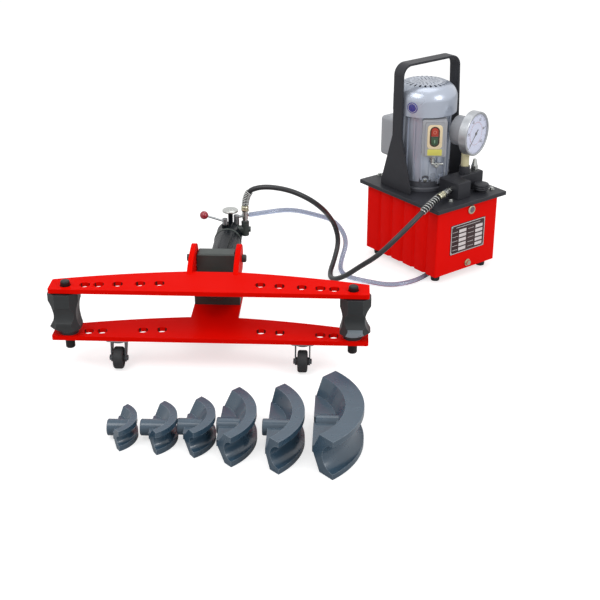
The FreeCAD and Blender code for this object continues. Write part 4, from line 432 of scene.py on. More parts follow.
# Dark brown moulded surround of the buttons
SURROUND = Finish("brown_surround_plastic", "#4A2A22", "#3E221C", (0.32, 0.4), 8, 0.5, 0.006)
# Moulded-in pale marks of the buttons
PALE_RED = Finish("pale_red_mark", "#D98C7C", "#CF8070", (0.4, 0.46), 6, 0.5, 0.002)
PALE_GREEN = Finish("pale_green_mark", "#8FB89A", "#84AD8F", (0.4, 0.46), 6, 0.5, 0.002)
# Satin-chromed bezel: pale silver grey
BEZEL = Finish("satin_chrome_bezel", "#B9BCC0", "#ADB0B4", (0.3, 0.4), 40, 0.8, 0.006, metallic=0.7)
# Oil behind the sight glass: dark plum grey
OIL_GLASS = Finish("oil_behind_glass", "#6A6470", "#565060", (0.06, 0.1), 6, 2.0, 0.0, coat=0.8)
# Mineral glass
GLASS = ClearFinish(
    "gauge_glass", "#FFFFFF", "#FFFFFF", (0.0, 0.02), 50, 5.0, 0.0, ior=1.45,
    transmission=0.0, alpha=0.1,
)
# Clear soft vinyl hose: smoky lilac, a little cloudy with oil
VINYL = ClearFinish(
    "clear_vinyl", "#CDD6EC", "#BAC5E0", (0.06, 0.12), 30, 3.0, 0.002, ior=1.45, transmission=0.85
)


class Paintbox:
    """Builds each finish once and hands out its material."""

    def __init__(self) -> None:
        """Start with no material mixed."""
        self._mixed: dict[str, bpy.types.Material] = {}

    def __getitem__(self, finish: Finish) -> bpy.types.Material:
        """Hand out the material of a finish, built on its first use.

        Args:
            finish: The finish.

        Returns:
            Its material.
        """
        if finish.name not in self._mixed:
            self._mixed[finish.name] = finish.build()
        return self._mixed[finish.name]


PAINTS = Paintbox()


# Modelling habits that all the sub-assemblies share


def only(piece: bpy.types.Object) -> bpy.types.Object:
    """Select one object alone and make it active.

    Args:
        piece: The object.

    Returns:
        The same object.
    """
    bpy.ops.object.select_all(action="DESELECT")
    piece.select_set(True)
    bpy.context.view_layer.objects.active = piece
    return piece


@contextmanager
def editing(piece: bpy.types.Object) -> Iterator[bmesh.types.BMesh]:
    """Open one piece in edit mode with nothing selected.

    Args:
        piece: The object to edit.

    Yields:
        Its edit mesh, for selecting by place or normal.
    """
    only(piece)
    bpy.ops.object.mode_set(mode="EDIT")
    bpy.ops.mesh.select_all(action="DESELECT")
    yield bmesh.from_edit_mesh(piece.data)
    bpy.ops.object.mode_set(mode="OBJECT")


def pick(
    piece: bpy.types.Object,
    cage: bmesh.types.BMesh,
    faces: Callable[[bmesh.types.BMFace], bool] | None = None,
    edges: Callable[[bmesh.types.BMEdge], bool] | None = None,
) -> None:
    """Select the faces or edges of a piece that pass a test.

    Args:
        piece: The object in edit mode.
        cage: Its edit mesh.
        faces: Test for a face, or None.
        edges: Test for an edge, or None.
    """
    bpy.ops.mesh.select_all(action="DESELECT")
    bpy.ops.mesh.select_mode(type="FACE" if faces else "EDGE")
    cage.faces.ensure_lookup_table()
    for face in cage.faces if faces else ():
        face.select_set(bool(faces(face)))
    for edge in cage.edges if edges else ():
        edge.select_set(bool(edges(edge)))
    cage.select_flush_mode()
    bmesh.update_edit_mesh(piece.data)


def box(low: Point, high: Point, bevel: float = 0.0, segments: int = 3) -> bpy.types.Object:
    """Model a block between two corners, its edges rounded.

    Args:
        low: Lowest corner, in millimetres of its own axes.
        high: Highest corner.
        bevel: Edge rounding in millimetres.
        segments: Faces across each rounding.

    Returns:
        The new object, in metres of its own axes.
    """
    centre = [(a + b) / 2 * MM for a, b in zip(low, high)]
    size = [(b - a) * MM for a, b in zip(low, high)]
    bpy.ops.object.select_all(action="DESELECT")
    bpy.ops.mesh.primitive_cube_add(size=1, location=centre, scale=size)
    piece = bpy.context.active_object
    bpy.ops.object.transform_apply(location=True, rotation=True, scale=True)
    if bevel:
        with editing(piece):
            bpy.ops.mesh.select_all(action="SELECT")
            bpy.ops.mesh.bevel(offset=bevel * MM, segments=segments, affect="EDGES")
    return piece


def disc_bar(
    radius: float,
    length: float,
    base: Point,
    turn: Point = (0, 0, 0),
    bevel: float = 0.0,
    sides: int = 32,
) -> bpy.types.Object:
    """Model a round or many-sided bar with rounded rims.

    Args:
        radius: Radius in millimetres.
        length: Length in millimetres.
        base: The middle of its first end, in millimetres.
        turn: Euler angles that lay it along another axis than Z.
        bevel: Rounding of both rims.
        sides: Number of sides.

    Returns:
        The new object.
    """
    bpy.ops.object.select_all(action="DESELECT")
    bpy.ops.mesh.primitive_cylinder_add(
        vertices=sides, radius=radius * MM, depth=length * MM, location=(0, 0, length / 2 * MM)
    )
    piece = bpy.context.active_object
    bpy.ops.object.transform_apply(location=True, rotation=True, scale=True)
    if bevel:
        with editing(piece) as cage:
            flat = lambda f: abs(f.normal.z) > 0.9
            pick(piece, cage, edges=lambda e: len({flat(f) for f in e.link_faces}) == 2)
            bpy.ops.mesh.bevel(offset=bevel * MM, segments=2, affect="EDGES")
    piece.rotation_euler = turn
    piece.location = [c * MM for c in base]
    bpy.ops.object.transform_apply(location=True, rotation=True, scale=True)
    return piece


def turned(
    profile: Sequence[tuple[float, float]],
    base: Point = (0, 0, 0),
    turn: Point = (0, 0, 0),
    steps: int = 48,
) -> bpy.types.Object:
    """Model a turned piece by extruding its profile point by point and spinning it.

    Args:
        profile: Radius and height pairs in millimetres, from the axis back to the axis
            or closed on itself.
        base: Where the profile's origin goes, in millimetres.
        turn: Euler angles that lay the axis along another than Z.
        steps: Faces round the piece.

    Returns:
        The new object.
    """
    bpy.ops.object.select_all(action="DESELECT")
    bpy.ops.mesh.primitive_plane_add(size=MM)
    piece = bpy.context.active_object
    radius, height = profile[0]
    with editing(piece) as cage:
        bpy.ops.mesh.select_all(action="SELECT")
        bpy.ops.mesh.merge(type="CENTER")
        bpy.ops.mesh.select_mode(type="VERT")
        for vert in cage.verts:
            vert.select_set(True)
        bmesh.update_edit_mesh(piece.data)
        bpy.ops.transform.translate(value=(radius * MM, 0, height * MM))
        for next_radius, next_height in profile[1:]:
            step = ((next_radius - radius) * MM, 0, (next_height - height) * MM)
            bpy.ops.mesh.extrude_region_move(TRANSFORM_OT_translate={"value": step})
            radius, height = next_radius, next_height
        bpy.ops.mesh.select_all(action="SELECT")
        bpy.ops.mesh.spin(steps=steps, angle=2 * math.pi, center=(0, 0, 0), axis=(0, 0, 1))
        bpy.ops.mesh.select_all(action="SELECT")
        bpy.ops.mesh.remove_doubles(threshold=2e-6)
        bpy.ops.mesh.normals_make_consistent(inside=False)
    piece.rotation_euler = turn
    piece.location = [c * MM for c in base]
    bpy.ops.object.transform_apply(location=True, rotation=True, scale=True)
    return piece


def join(pieces: Sequence[bpy.types.Object]) -> bpy.types.Object:
    """Join several objects into the first.

    Args:
        pieces: The objects, at least one.

    Returns:
        The first object, which now holds them all.
    """
    bpy.ops.object.select_all(action="DESELECT")
    for piece in pieces:
        piece.select_set(True)
    bpy.context.view_layer.objects.active = pieces[0]
    if len(pieces) > 1:
        bpy.ops.object.join()
    return pieces[0]


def copies(piece: bpy.types.Object, moves: Sequence[Matrix]) -> bpy.types.Object:
    """Copy a modelled piece to several places and join the copies.

    Args:
        piece: The piece, modelled once at its own origin.
        moves: A matrix for each place.

    Returns:
        One object that holds all the copies.
    """
    made = []
    for move in moves:
        only(piece)
        bpy.ops.object.duplicate()
        copy = bpy.context.active_object
        copy.matrix_world = move @ copy.matrix_world
        bpy.ops.object.transform_apply(location=True, rotation=True, scale=True)
        made.append(copy)
    only(piece)
    bpy.ops.object.delete()
    return join(made)


def shift(x: float, y: float, z: float) -> Matrix:
    """Return a move by millimetres."""
    return Matrix.Translation(Vector((x, y, z)) * MM)


def about_z(degrees: float) -> Matrix:
    """Return a turn about Z."""
    return Matrix.Rotation(math.radians(degrees), 4, "Z")


def ring(count: int, radius: float, height: float) -> list[Matrix]:
    """Return places evenly spaced on a circle about Z, each turned with the circle."""
    return [about_z(360 * k / count) @ shift(radius, 0, height) for k in range(count)]


def plate(
    low: Point, high: Point, corner: float, rim: float = 0.4, test: Callable = bool
) -> bpy.types.Object:
    """Model a plate that faces -Y, with round corners and a softened front rim.

    Args:
        low: Lowest corner in millimetres.
        high: Highest corner.
        corner: Radius of its corners.
        rim: Rounding of its front rim.
        test: Takes a corner's middle and says if that corner is rounded.

    Returns:
        The new object.
    """
    piece = box(low, high)
    with editing(piece) as cage:
        middle = lambda e: (e.verts[0].co + e.verts[1].co) / 2
        along = lambda e: abs((e.verts[0].co - e.verts[1].co).normalized().y) > 0.99
        pick(piece, cage, edges=lambda e: along(e) and test(middle(e)))
        bpy.ops.mesh.bevel(offset=corner * MM, segments=6, affect="EDGES")
    with editing(piece) as cage:
        front = lambda f: f.normal.y < -0.99
        pick(piece, cage, edges=lambda e: sum(front(f) for f in e.link_faces) == 1)
        bpy.ops.mesh.bevel(offset=rim * MM, segments=2, affect="EDGES")
    return piece


def cut(piece: bpy.types.Object, tool: bpy.types.Object) -> bpy.types.Object:
    """Cut one piece's opening with another.

    Args:
        piece: The piece to cut.
        tool: The shape of the opening, which is used up.

    Returns:
        The piece with its opening.
    """
    only(piece)
    opening = piece.modifiers.new("opening", "BOOLEAN")
    opening.object = tool
    opening.operation = "DIFFERENCE"
    opening.solver = "EXACT"
    bpy.ops.object.modifier_apply(modifier=opening.name)
    only(tool)
    bpy.ops.object.delete()
    return piece


def smooth(piece: bpy.types.Object, degrees: float = 32) -> None:
    """Shade a piece smooth up to an angle between its faces."""
    only(piece)
    bpy.ops.object.shade_smooth_by_angle(angle=math.radians(degrees))


def settle(
    piece: bpy.types.Object,
    name: str,
    seat: Matrix,
    finish: Finish,
    body: str = Body.FRAME.value,
    replaces: Sequence[str] = (),
    degrees: float = 32,
) -> bpy.types.Object:
    """Set a modelled piece into the model's frame, paint it and fix it to its body.

    Args:
        piece: The object, in metres of its own axes.
        name: Its piece name.
        seat: Matrix from its own axes to the model's frame.
        finish: Its finish.
        body: The body that it rides on.
        replaces: CAD nodes that it stands for.
        degrees: Smooth shading angle.

    Returns:
        The finished piece.
    """
    only(piece)
    piece.matrix_world = seat @ piece.matrix_world
    bpy.ops.object.transform_apply(location=True, rotation=True, scale=True)
    piece.name = piece.data.name = name
    smooth(piece, degrees)
    piece.data.materials.clear()
    piece.data.materials.append(PAINTS[finish])
    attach(piece, body)
    if replaces:
        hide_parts(*replaces)
    LOG.info("%s: %d faces on %s", name, len(piece.data.polygons), body)
    return piece


def refine(
    frame: Mapping,
    node: str,
    finish: Finish,
    bevel: float = 0.8,
    segments: int = 2,
    angle: float = 40,
    second: Finish | None = None,
    where: Callable[[bpy.types.MeshPolygon], bool] = bool,
) -> bpy.types.Object:
    """Stand a copy of a CAD node in its place, with merged faces and rounded edges.

    Args:
        node: The node's name.
        finish: Its finish.
        bevel: Edge rounding in millimetres.
        segments: Faces across the rounding.
        angle: Smallest angle in degrees between faces that counts as an edge.
        second: Another finish for some of its faces.
        where: Says which faces have it.

    Returns:
        The finished piece.
    """
    source = frame["nodes"][node]
    body = source["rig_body"]
    piece = source.copy()
    piece.data = source.data.copy()
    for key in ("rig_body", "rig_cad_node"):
        del piece[key]
    bpy.context.scene.collection.objects.link(piece)
    piece.parent = None
    only(piece)
    bpy.ops.mesh.customdata_custom_splitnormals_clear()
    with editing(piece):
        bpy.ops.mesh.select_all(action="SELECT")
        bpy.ops.mesh.remove_doubles(threshold=MERGE_GAP)
        bpy.ops.mesh.dissolve_limited(angle_limit=math.radians(FLAT_DEGREES))
    if bevel:
        rounding = piece.modifiers.new("rounding", "BEVEL")
        rounding.width = bevel * MM
        rounding.segments = segments
        rounding.limit_method = "ANGLE"
        rounding.angle_limit = math.radians(angle)
        rounding.miter_outer = "MITER_ARC"
        bpy.ops.object.modifier_apply(modifier=rounding.name)
    identity = Matrix.Identity(4)
    settle(piece, node + "_finished", identity, finish, body, [node], angle)
    even = piece.modifiers.new("even_shading", "WEIGHTED_NORMAL")
    even.keep_sharp = True
    bpy.ops.object.modifier_apply(modifier=even.name)
    if second:
        piece.data.materials.append(PAINTS[second])
        for face in piece.data.polygons:
            face.material_index = int(where(face))
    return piece


@dataclass
class Studio:
    """The pale floor, the soft lights and the camera."""

    level: float = 0.62
    floor_size: float = 14.0
    floor_height: float = -0.0004
    lamp_target: Point = (0.05, 0.0, 0.15)
    soft_boxes: Sequence[tuple[str, Point, float, float]] = (
        ("key_box", (-1.2, -1.3, 2.4), 1.6, 26.0),
        ("side_box", (2.2, -1.2, 1.6), 1.0, 20.0),
        ("top_box", (0.3, 0.7, 2.6), 1.6, 12.0),
    )
    camera_place: Point = (0.301, -2.334, 1.295)
    camera_pitch: float = 25.5
    camera_yaw: float = 2.48
    lens_mm: float = 72.0
    sensor_mm: float = 36.0
    clip: tuple[float, float] = (0.1, 50.0)

    def build(self) -> None:
        """Build all of it."""
        self.world()
        self.floor()
        self.lamps()
        self.camera()

    def world(self) -> None:
        """Make a surround that looks white and lights the part only gently."""
        world = bpy.data.worlds.new("studio")
        bpy.context.scene.world = world
        world.use_nodes = True
        tree = world.node_tree
        tree.nodes.clear()
        rays = add(tree, "ShaderNodeLightPath").outputs
        direct = add(
            tree,
            "ShaderNodeMath",
            {0: rays["Is Camera Ray"], 1: rays["Is Glossy Ray"]},
            operation="MAXIMUM",
        )
        seen = add(
            tree,
            "ShaderNodeMath",
            {0: direct.outputs["Value"], 1: rays["Is Transmission Ray"]},
            operation="MAXIMUM",
        )
        strength = add(
            tree,
            "ShaderNodeMapRange",
            {"Value": seen.outputs["Value"], "To Min": self.level, "To Max": 1.0},
        )
        back = add(
            tree,
            "ShaderNodeBackground",
            {"Color": (1.0, 1.0, 1.0, 1.0), "Strength": strength.outputs["Result"]},
        )
        add(tree, "ShaderNodeOutputWorld", {"Surface": back.outputs["Background"]})

    def floor(self) -> None:
        """Lay a matt white floor that keeps the shadows and looks white to the camera."""
        bpy.ops.object.select_all(action="DESELECT")
        bpy.ops.mesh.primitive_plane_add(size=self.floor_size, location=(0, 0, self.floor_height))
        floor = bpy.context.active_object
        floor.name = "studio_floor"
        material = bpy.data.materials.new("floor_paper")
        material.use_nodes = True
        tree = material.node_tree
        tree.nodes.clear()
        rays = add(tree, "ShaderNodeLightPath").outputs
        grey = (self.level, self.level, self.level, 1.0)
        paper = add(tree, "ShaderNodeBsdfDiffuse", {"Color": grey})
        lift = add(
            tree, "ShaderNodeMath", {0: rays["Is Camera Ray"], 1: self.level}, operation="MULTIPLY"
        )
        glow = add(tree, "ShaderNodeEmission", {"Strength": lift.outputs["Value"]})
        both = add(
            tree, "ShaderNodeAddShader", {0: paper.outputs["BSDF"], 1: glow.outputs["Emission"]}
        )
        add(tree, "ShaderNodeOutputMaterial", {"Surface": both.outputs["Shader"]})
        floor.data.materials.append(material)

    def lamps(self) -> None:
        """Hang the soft boxes, each turned to the part."""
        target = Vector(self.lamp_target)
        for name, place, size, power in self.soft_boxes:
            lamp = bpy.data.lights.new(name, "AREA")
            lamp.size = size
            lamp.energy = power
            holder = bpy.data.objects.new(name, lamp)
            bpy.context.scene.collection.objects.link(holder)
            holder.location = place
            aim = (target - holder.location).to_track_quat("-Z", "Y")
            holder.rotation_euler = aim.to_euler()

    def camera(self) -> None:
        """Set the camera at the photograph's angle."""
        lens = bpy.data.cameras.new("photo_camera")
        lens.sensor_width, lens.lens = self.sensor_mm, self.lens_mm
        lens.clip_start, lens.clip_end = self.clip
        camera = bpy.data.objects.new("photo_camera", lens)
        bpy.context.scene.collection.objects.link(camera)
        camera.location = Vector(self.camera_place) + BENCH_SHIFT
        camera.rotation_euler = (
            math.radians(90 - self.camera_pitch),
            0,
            math.radians(self.camera_yaw),
        )
        bpy.context.scene.camera = camera


def rod(points: Sequence[Vector], radius: float) -> bpy.types.Object:
    """Lay a round wire through points.

    Args:
        points: Points of its middle line, in metres.
        radius: Wire radius in millimetres.

    Returns:
        A curve with a round section.
    """
    curve = bpy.data.curves.new("wire", "CURVE")
    curve.dimensions = "3D"
    curve.bevel_depth = radius * MM
    curve.bevel_resolution = 2
    curve.use_fill_caps = True
    line = curve.splines.new("POLY")
    line.points.add(len(points) - 1)
    for knot, place in zip(line.points, points):
        knot.co = (*place, 1.0)
    wire = bpy.data.objects.new("wire", curve)
    bpy.context.scene.collection.objects.link(wire)
    return wire


@dataclass
class Hose:
    """A hose on one smooth line, and what is read from that line."""

    name: str
    route: Sequence[Point]
    radius: float
    length: float
    node: str
    finish: Finish
    slot: str
    stiffness: str

    def spline(self, bevel: float) -> bpy.types.Object:
        """Draw the route's NURBS curve.

        Args:
            bevel: Radius of its round section in metres, or 0 for a bare line.

        Returns:
            The curve object.
        """
        curve = bpy.data.curves.new(self.name, "CURVE")
        curve.dimensions = "3D"
        curve.resolution_u = 14
        curve.bevel_depth = bevel
        curve.bevel_resolution = 6
        curve.use_fill_caps = bool(bevel)
        line = curve.splines.new("NURBS")
        line.points.add(len(self.route) - 1)
        for knot, place in zip(line.points, self.route):
            knot.co = (*(Vector(place) + BENCH_SHIFT), 1.0)
        line.order_u = 3
        line.use_endpoint_u = True
        hose = bpy.data.objects.new(self.name, curve)
        bpy.context.scene.collection.objects.link(hose)
        return hose

    def line(self) -> list[Vector]:
        """Read points of the hose's middle line from its curve.

        Returns:
            The points, from the hose's first end.
        """
        bare = self.spline(0)
        mesh = bpy.data.meshes.new_from_object(bare)
        points = [vert.co.copy() for vert in mesh.vertices]
        bpy.data.objects.remove(bare)
        return points

    def lay(self) -> bpy.types.Object:
        """Lay the hose in place, painted and fixed to the frame.

        Returns:
            The hose.
        """
        hose = self.spline(self.radius)
        hose.data.materials.append(PAINTS[self.finish])
        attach(hose, Body.FRAME.value)
        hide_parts(self.node)
        LOG.info("%s: %.3f m long", self.name, self.length)
        return hose


@dataclass
class Hoses:
    """The pressure hose with its spring guards, and the clear return hose."""

    frame: Mapping
    wire_radius: float = 1.3
    guard_reach: float = 8.2
    guard_side: Point = (0.31, -0.95, 0.1)
    cylinder_guard: tuple[float, float, int] = (17.0, 4.4, 9)
    pump_guard: tuple[float, float, int] = (30.0, 9.0, 8)
    steps_per_turn: int = 20
    sleeve_start: float = 8.0
    sleeve_bore: float = 7.2
    sleeve_tail: float = 8.2
    crimp_pitch: float = 6.0
    crimp: Profile = ((8.7, 0.4), (9.2, 1.0), (9.2, 5.0), (8.7, 5.6))
    elbow_reach: float = 60.0
    pressure_route: Sequence[Point] = (
        (0.041, 0.475, 0.198), (0.041, 0.475, 0.248), (0.084, 0.464, 0.270),
        (0.150, 0.460, 0.264), (0.204, 0.474, 0.234), (0.236, 0.510, 0.194),
        (0.250, 0.556, 0.158), (0.266, 0.594, 0.118), (0.277, 0.600, 0.070),
        (0.266, 0.566, 0.030), (0.254, 0.524, 0.009), (0.262, 0.482, 0.010),
        (0.294, 0.446, 0.036), (0.332, 0.416, 0.078), (0.376, 0.400, 0.115),
        (0.424, 0.402, 0.166), (0.470, 0.434, 0.204), (0.520, 0.503, 0.230),
        (0.541, 0.534, 0.230),
    )
    return_route: Sequence[Point] = (
        (0.050, 0.487, 0.184), (0.092, 0.492, 0.190), (0.154, 0.532, 0.184),
        (0.216, 0.582, 0.150), (0.268, 0.622, 0.118), (0.300, 0.620, 0.064),
        (0.284, 0.590, 0.020), (0.281, 0.548, 0.007), (0.302, 0.506, 0.008),
        (0.350, 0.484, 0.007), (0.406, 0.462, 0.007), (0.452, 0.476, 0.007),
        (0.492, 0.506, 0.008), (0.520, 0.545, 0.0095),
    )

    def build(self) -> None:
        pressure = Hose(
            "pressure_hose_cover", self.pressure_route, 0.0065, 1.029, "pressure_hose", HOSE,
            "hose_rubber", "medium",
        )
        clear = Hose(
            "return_hose_tube", self.return_route, 0.006, 0.730, "return_hose", VINYL,
            "clear_vinyl", "limp",
        )
        hose = pressure.lay()
        guards = self.guards(pressure.line())
        sleeves = [
            self.sleeve(pressure.line()[::-1], "pump_hose_sleeve", 28),
            self.sleeve(pressure.line(), "cylinder_hose_sleeve", 16),
        ]
        ends, elbow = self.ends(clear)
        Vector(self.pressure_route[0]) + BENCH_SHIFT
        tube = clear.lay()
        Vector(self.return_route[0]) + BENCH_SHIFT

    def ends(self, clear: Hose) -> tuple[bpy.types.Object, bpy.types.Object]:
        """Refine the hose ends and part the clear hose's elbow from them.

        Args:
            clear: The clear hose.

        Returns:
            The pressure hose's two ends, and the elbow.
        """
        both = refine(self.frame, "hose_ends", BRIGHT, 0.5)
        tip = Vector(clear.route[-1]) + BENCH_SHIFT
        reach = self.elbow_reach * MM
        with editing(both) as cage:
            pick(both, cage, faces=lambda f: (f.calc_center_median() - tip).length < reach)
            bpy.ops.mesh.separate(type="SELECTED")
        elbow = next(piece for piece in bpy.context.selected_objects if piece != both)
        elbow.name = elbow.data.name = "return_elbow_finished"
        return both, elbow

    def guards(self, line: list[Vector]) -> bpy.types.Object:
        """Wind the two wire guards round the ends of the hose's line.

        Args:
            line: Points of the hose's middle line.

        Returns:
            Both guards as one piece.
        """
        made = [self.wire(line, *self.cylinder_guard), self.wire(line[::-1], *self.pump_guard)]
        only(made[0])
        piece = join(made)
        bpy.ops.object.convert(target="MESH")
        identity = Matrix.Identity(4)
        return settle(
            piece, "hose_guard_wire", identity, BRIGHT,
            replaces=["hose_guards"], degrees=60,
        )

    def wire(
        self, points: list[Vector], start: float, pitch: float, turns: int
    ) -> bpy.types.Object:
        """Wind one guard along the first part of a line.

        Args:
            points: The line, from its end inwards.
            start: Where the guard starts along the line, in millimetres.
            pitch: Millimetres from turn to turn.
            turns: Number of turns.

        Returns:
            A curve with a round wire section.
        """
        reach = self.guard_reach * MM
        spots = []
        travelled, index = 0.0, 0
        count = turns * self.steps_per_turn
        for k in range(count + 1):
            along = (start + pitch * k / self.steps_per_turn) * MM
            step = points[index + 1] - points[index]
            while index < len(points) - 2 and travelled + step.length < along:
                travelled += step.length
                index += 1
                step = points[index + 1] - points[index]
            heading = step.normalized()
            middle = points[index] + heading * (along - travelled)
            across = heading.cross(Vector(self.guard_side)).normalized()
            up = heading.cross(across)
            angle = 2 * math.pi * k / self.steps_per_turn
            spots.append(middle + (across * math.cos(angle) + up * math.sin(angle)) * reach)
        return rod(spots, self.wire_radius)

    def sleeve(self, line: list[Vector], name: str, end: float) -> bpy.types.Object:
        """Crimp a sleeve over one end of the pressure hose.

        Args:
            line: Points of the hose's middle line, from that end.
            name: Piece name.
            end: Where the sleeve ends along the line, in millimetres.

        Returns:
            The sleeve with its pressed grooves and its nut.
        """
        heading = (line[2] - line[0]).normalized()
        seat = Matrix.Translation(line[0]) @ heading.to_track_quat("Z", "Y").to_matrix().to_4x4()
        profile = [(self.sleeve_bore, self.sleeve_start)]
        along = self.sleeve_start
        while along + self.crimp_pitch <= end:
            profile += [(radius, along + step) for radius, step in self.crimp]
            along += self.crimp_pitch
        profile += [(self.sleeve_tail, end), (self.sleeve_bore, end), profile[0]]
        piece = join([turned(profile), disc_bar(10.2, 6.5, (0, 0, 1.2), bevel=0.8, sides=6)])
        return settle(piece, name, seat, NICKEL, degrees=40)


@dataclass
class BendingFrame:
    """The two wings, the block, the ears, the rollers and the castors."""

    frame: Mapping
    holes: Sequence[tuple[float, float]] = (
        (0.111, 0.0420), (0.153, 0.0380), (0.202, 0.0340), (0.243, 0.0300), (0.273, 0.0270),
    )
    hole_reach: float = 0.0102
    facet_area: float = 0.8e-4
    facet_top: float = 0.135

    def build(self) -> None:
        """Refine the frame's CAD nodes and dress them."""
        for node, finish, slot, bevel in (
            ("wing_ears", RED, "red_paint", 1.0),
            ("cylinder_block", OXIDE, "black_paint", 1.0),
            ("frame_bolts", OXIDE, "zinc_steel", 0.5),
            ("roller_pins", PIN, "black_paint", 0.8),
            ("castor_plates", ZINC, "zinc_steel", 0.5),
        ):
            refine(self.frame, node, finish, bevel)
        for side in ("left", "right", "rear"):
            refine(self.frame, "castor_fork_" + side, FORK, 0.5)
            refine(self.frame, "castor_wheel_" + side, RUBBER, 0.6)
        for node in ("lower_wing", "upper_wing"):
            # The pin hole walls take the dark painted shade
            refine(self.frame, node, RED, 0.9, second=HOLE_SHADE, where=self.is_hole_wall)
        refine(self.frame, "roller_left", ROLLER, 1.0)
        # Only the right roller's low flat facets take the pale painted highlight
        facet = self.is_facet
        refine(self.frame, "roller_right", ROLLER, 1.0, second=FACET_HIGHLIGHT, where=facet)

    def is_hole_wall(self, face: bpy.types.MeshPolygon) -> bool:
        """Say if a wing's face is the wall of a pin hole, which takes the painted shade.

        Args:
            face: The face, in the model's frame.

        Returns:
            True where it stands upright beside a hole's axis.
        """
        spot = face.center - BENCH_SHIFT
        return abs(face.normal.z) < 0.5 and any(
            abs(abs(spot.x) - x) < self.hole_reach and abs(spot.y - y) < self.hole_reach
            for x, y in self.holes
        )

    def is_facet(self, face: bpy.types.MeshPolygon) -> bool:
        """Say if a roller's face is a low flat facet, which takes the painted highlight.

        Args:
            face: The face, in the model's frame.

        Returns:
            True for the large flat faces low on its front and back.
        """
        large = face.area > self.facet_area
        return abs(face.normal.y) > 0.9 and large and face.center.z < self.facet_top


@dataclass
class Cylinder:
    """The hydraulic cylinder with its ram, valves and knob."""

    frame: Mapping
    ram_travel: float = 170.0
    nose_length: float = 25.0
    bore: float = 25.0
    rim: float = 0.8
    spring_wire: float = 2.2
    spring_turns: int = 22
    spring_steps: int = 16

    def build(self) -> None:
        """Refine the cylinder's CAD nodes and dress them."""
        for node, finish, slot, bevel in (
            ("cylinder_gland", OXIDE, "bright_steel", 0.6),
            ("cylinder_end_ring", OXIDE, "black_paint", 0.4),
            ("cylinder_end_cap", CYLINDER, "cylinder_enamel", 0.8),
            ("ram_piston", OXIDE, "black_paint", 0.5),
            ("release_lever", ZINC, "zinc_steel", 0.3),
            ("lever_ball", BALL, "ball_plastic", 0.0),
            ("bleed_knob", BRIGHT, "bright_steel", 1.0),
            ("hose_port", OXIDE, "black_paint", 0.5),
            ("return_valve", ZINC, "zinc_steel", 0.4),
        ):
            refine(self.frame, node, finish, bevel)
        nose_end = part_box("ram_rod")[0][1] + self.nose_length * MM
        on_nose = lambda face: face.center.y < nose_end
        refine(self.frame, "ram_rod", BRIGHT, 0.5, second=OXIDE, where=on_nose)
        self.barrel()
        self.spring()

    def barrel(self) -> None:
        """Turn the barrel with its smooth enamel skin."""
        low, high = (Vector(c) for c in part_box("cylinder_barrel"))
        outer = (high.x - low.x) / 2 / MM
        length = (high.y - low.y) / MM
        profile = [
            (self.bore, 0), (outer - self.rim, 0), (outer, self.rim), (outer, length - self.rim),
            (outer - self.rim, length), (self.bore, length), (self.bore, 0),
        ]
        tube = turned(profile, turn=(-math.pi / 2, 0, 0), steps=96)
        seat = Matrix.Translation(((low.x + high.x) / 2, low.y, (low.z + high.z) / 2))
        settle(
            tube, "cylinder_tube", seat, CYLINDER,
            replaces=["cylinder_barrel"],
        )

    def spring(self) -> None:
        """Wind the return spring inside the barrel."""
        low, high = (Vector(c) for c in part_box("return_spring"))
        wire = self.spring_wire * MM
        middle = (low + high) / 2
        reach = (high.x - low.x) / 2 - wire
        length = high.y - low.y
        count = self.spring_turns * self.spring_steps
        spots = []
        for k in range(count + 1):
            angle = 2 * math.pi * k / self.spring_steps
            along = low.y + wire + (length - 2 * wire) * k / count
            across = (reach * math.cos(angle), reach * math.sin(angle))
            spots.append(Vector((middle.x + across[0], along, middle.z + across[1])))
        coil = rod(spots, self.spring_wire)
        only(coil)
        bpy.ops.object.convert(target="MESH")
        coil = settle(
            coil, "return_spring_wire", Matrix.Identity(4), ZINC,
            replaces=["return_spring"], degrees=60,
        )
        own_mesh(coil)


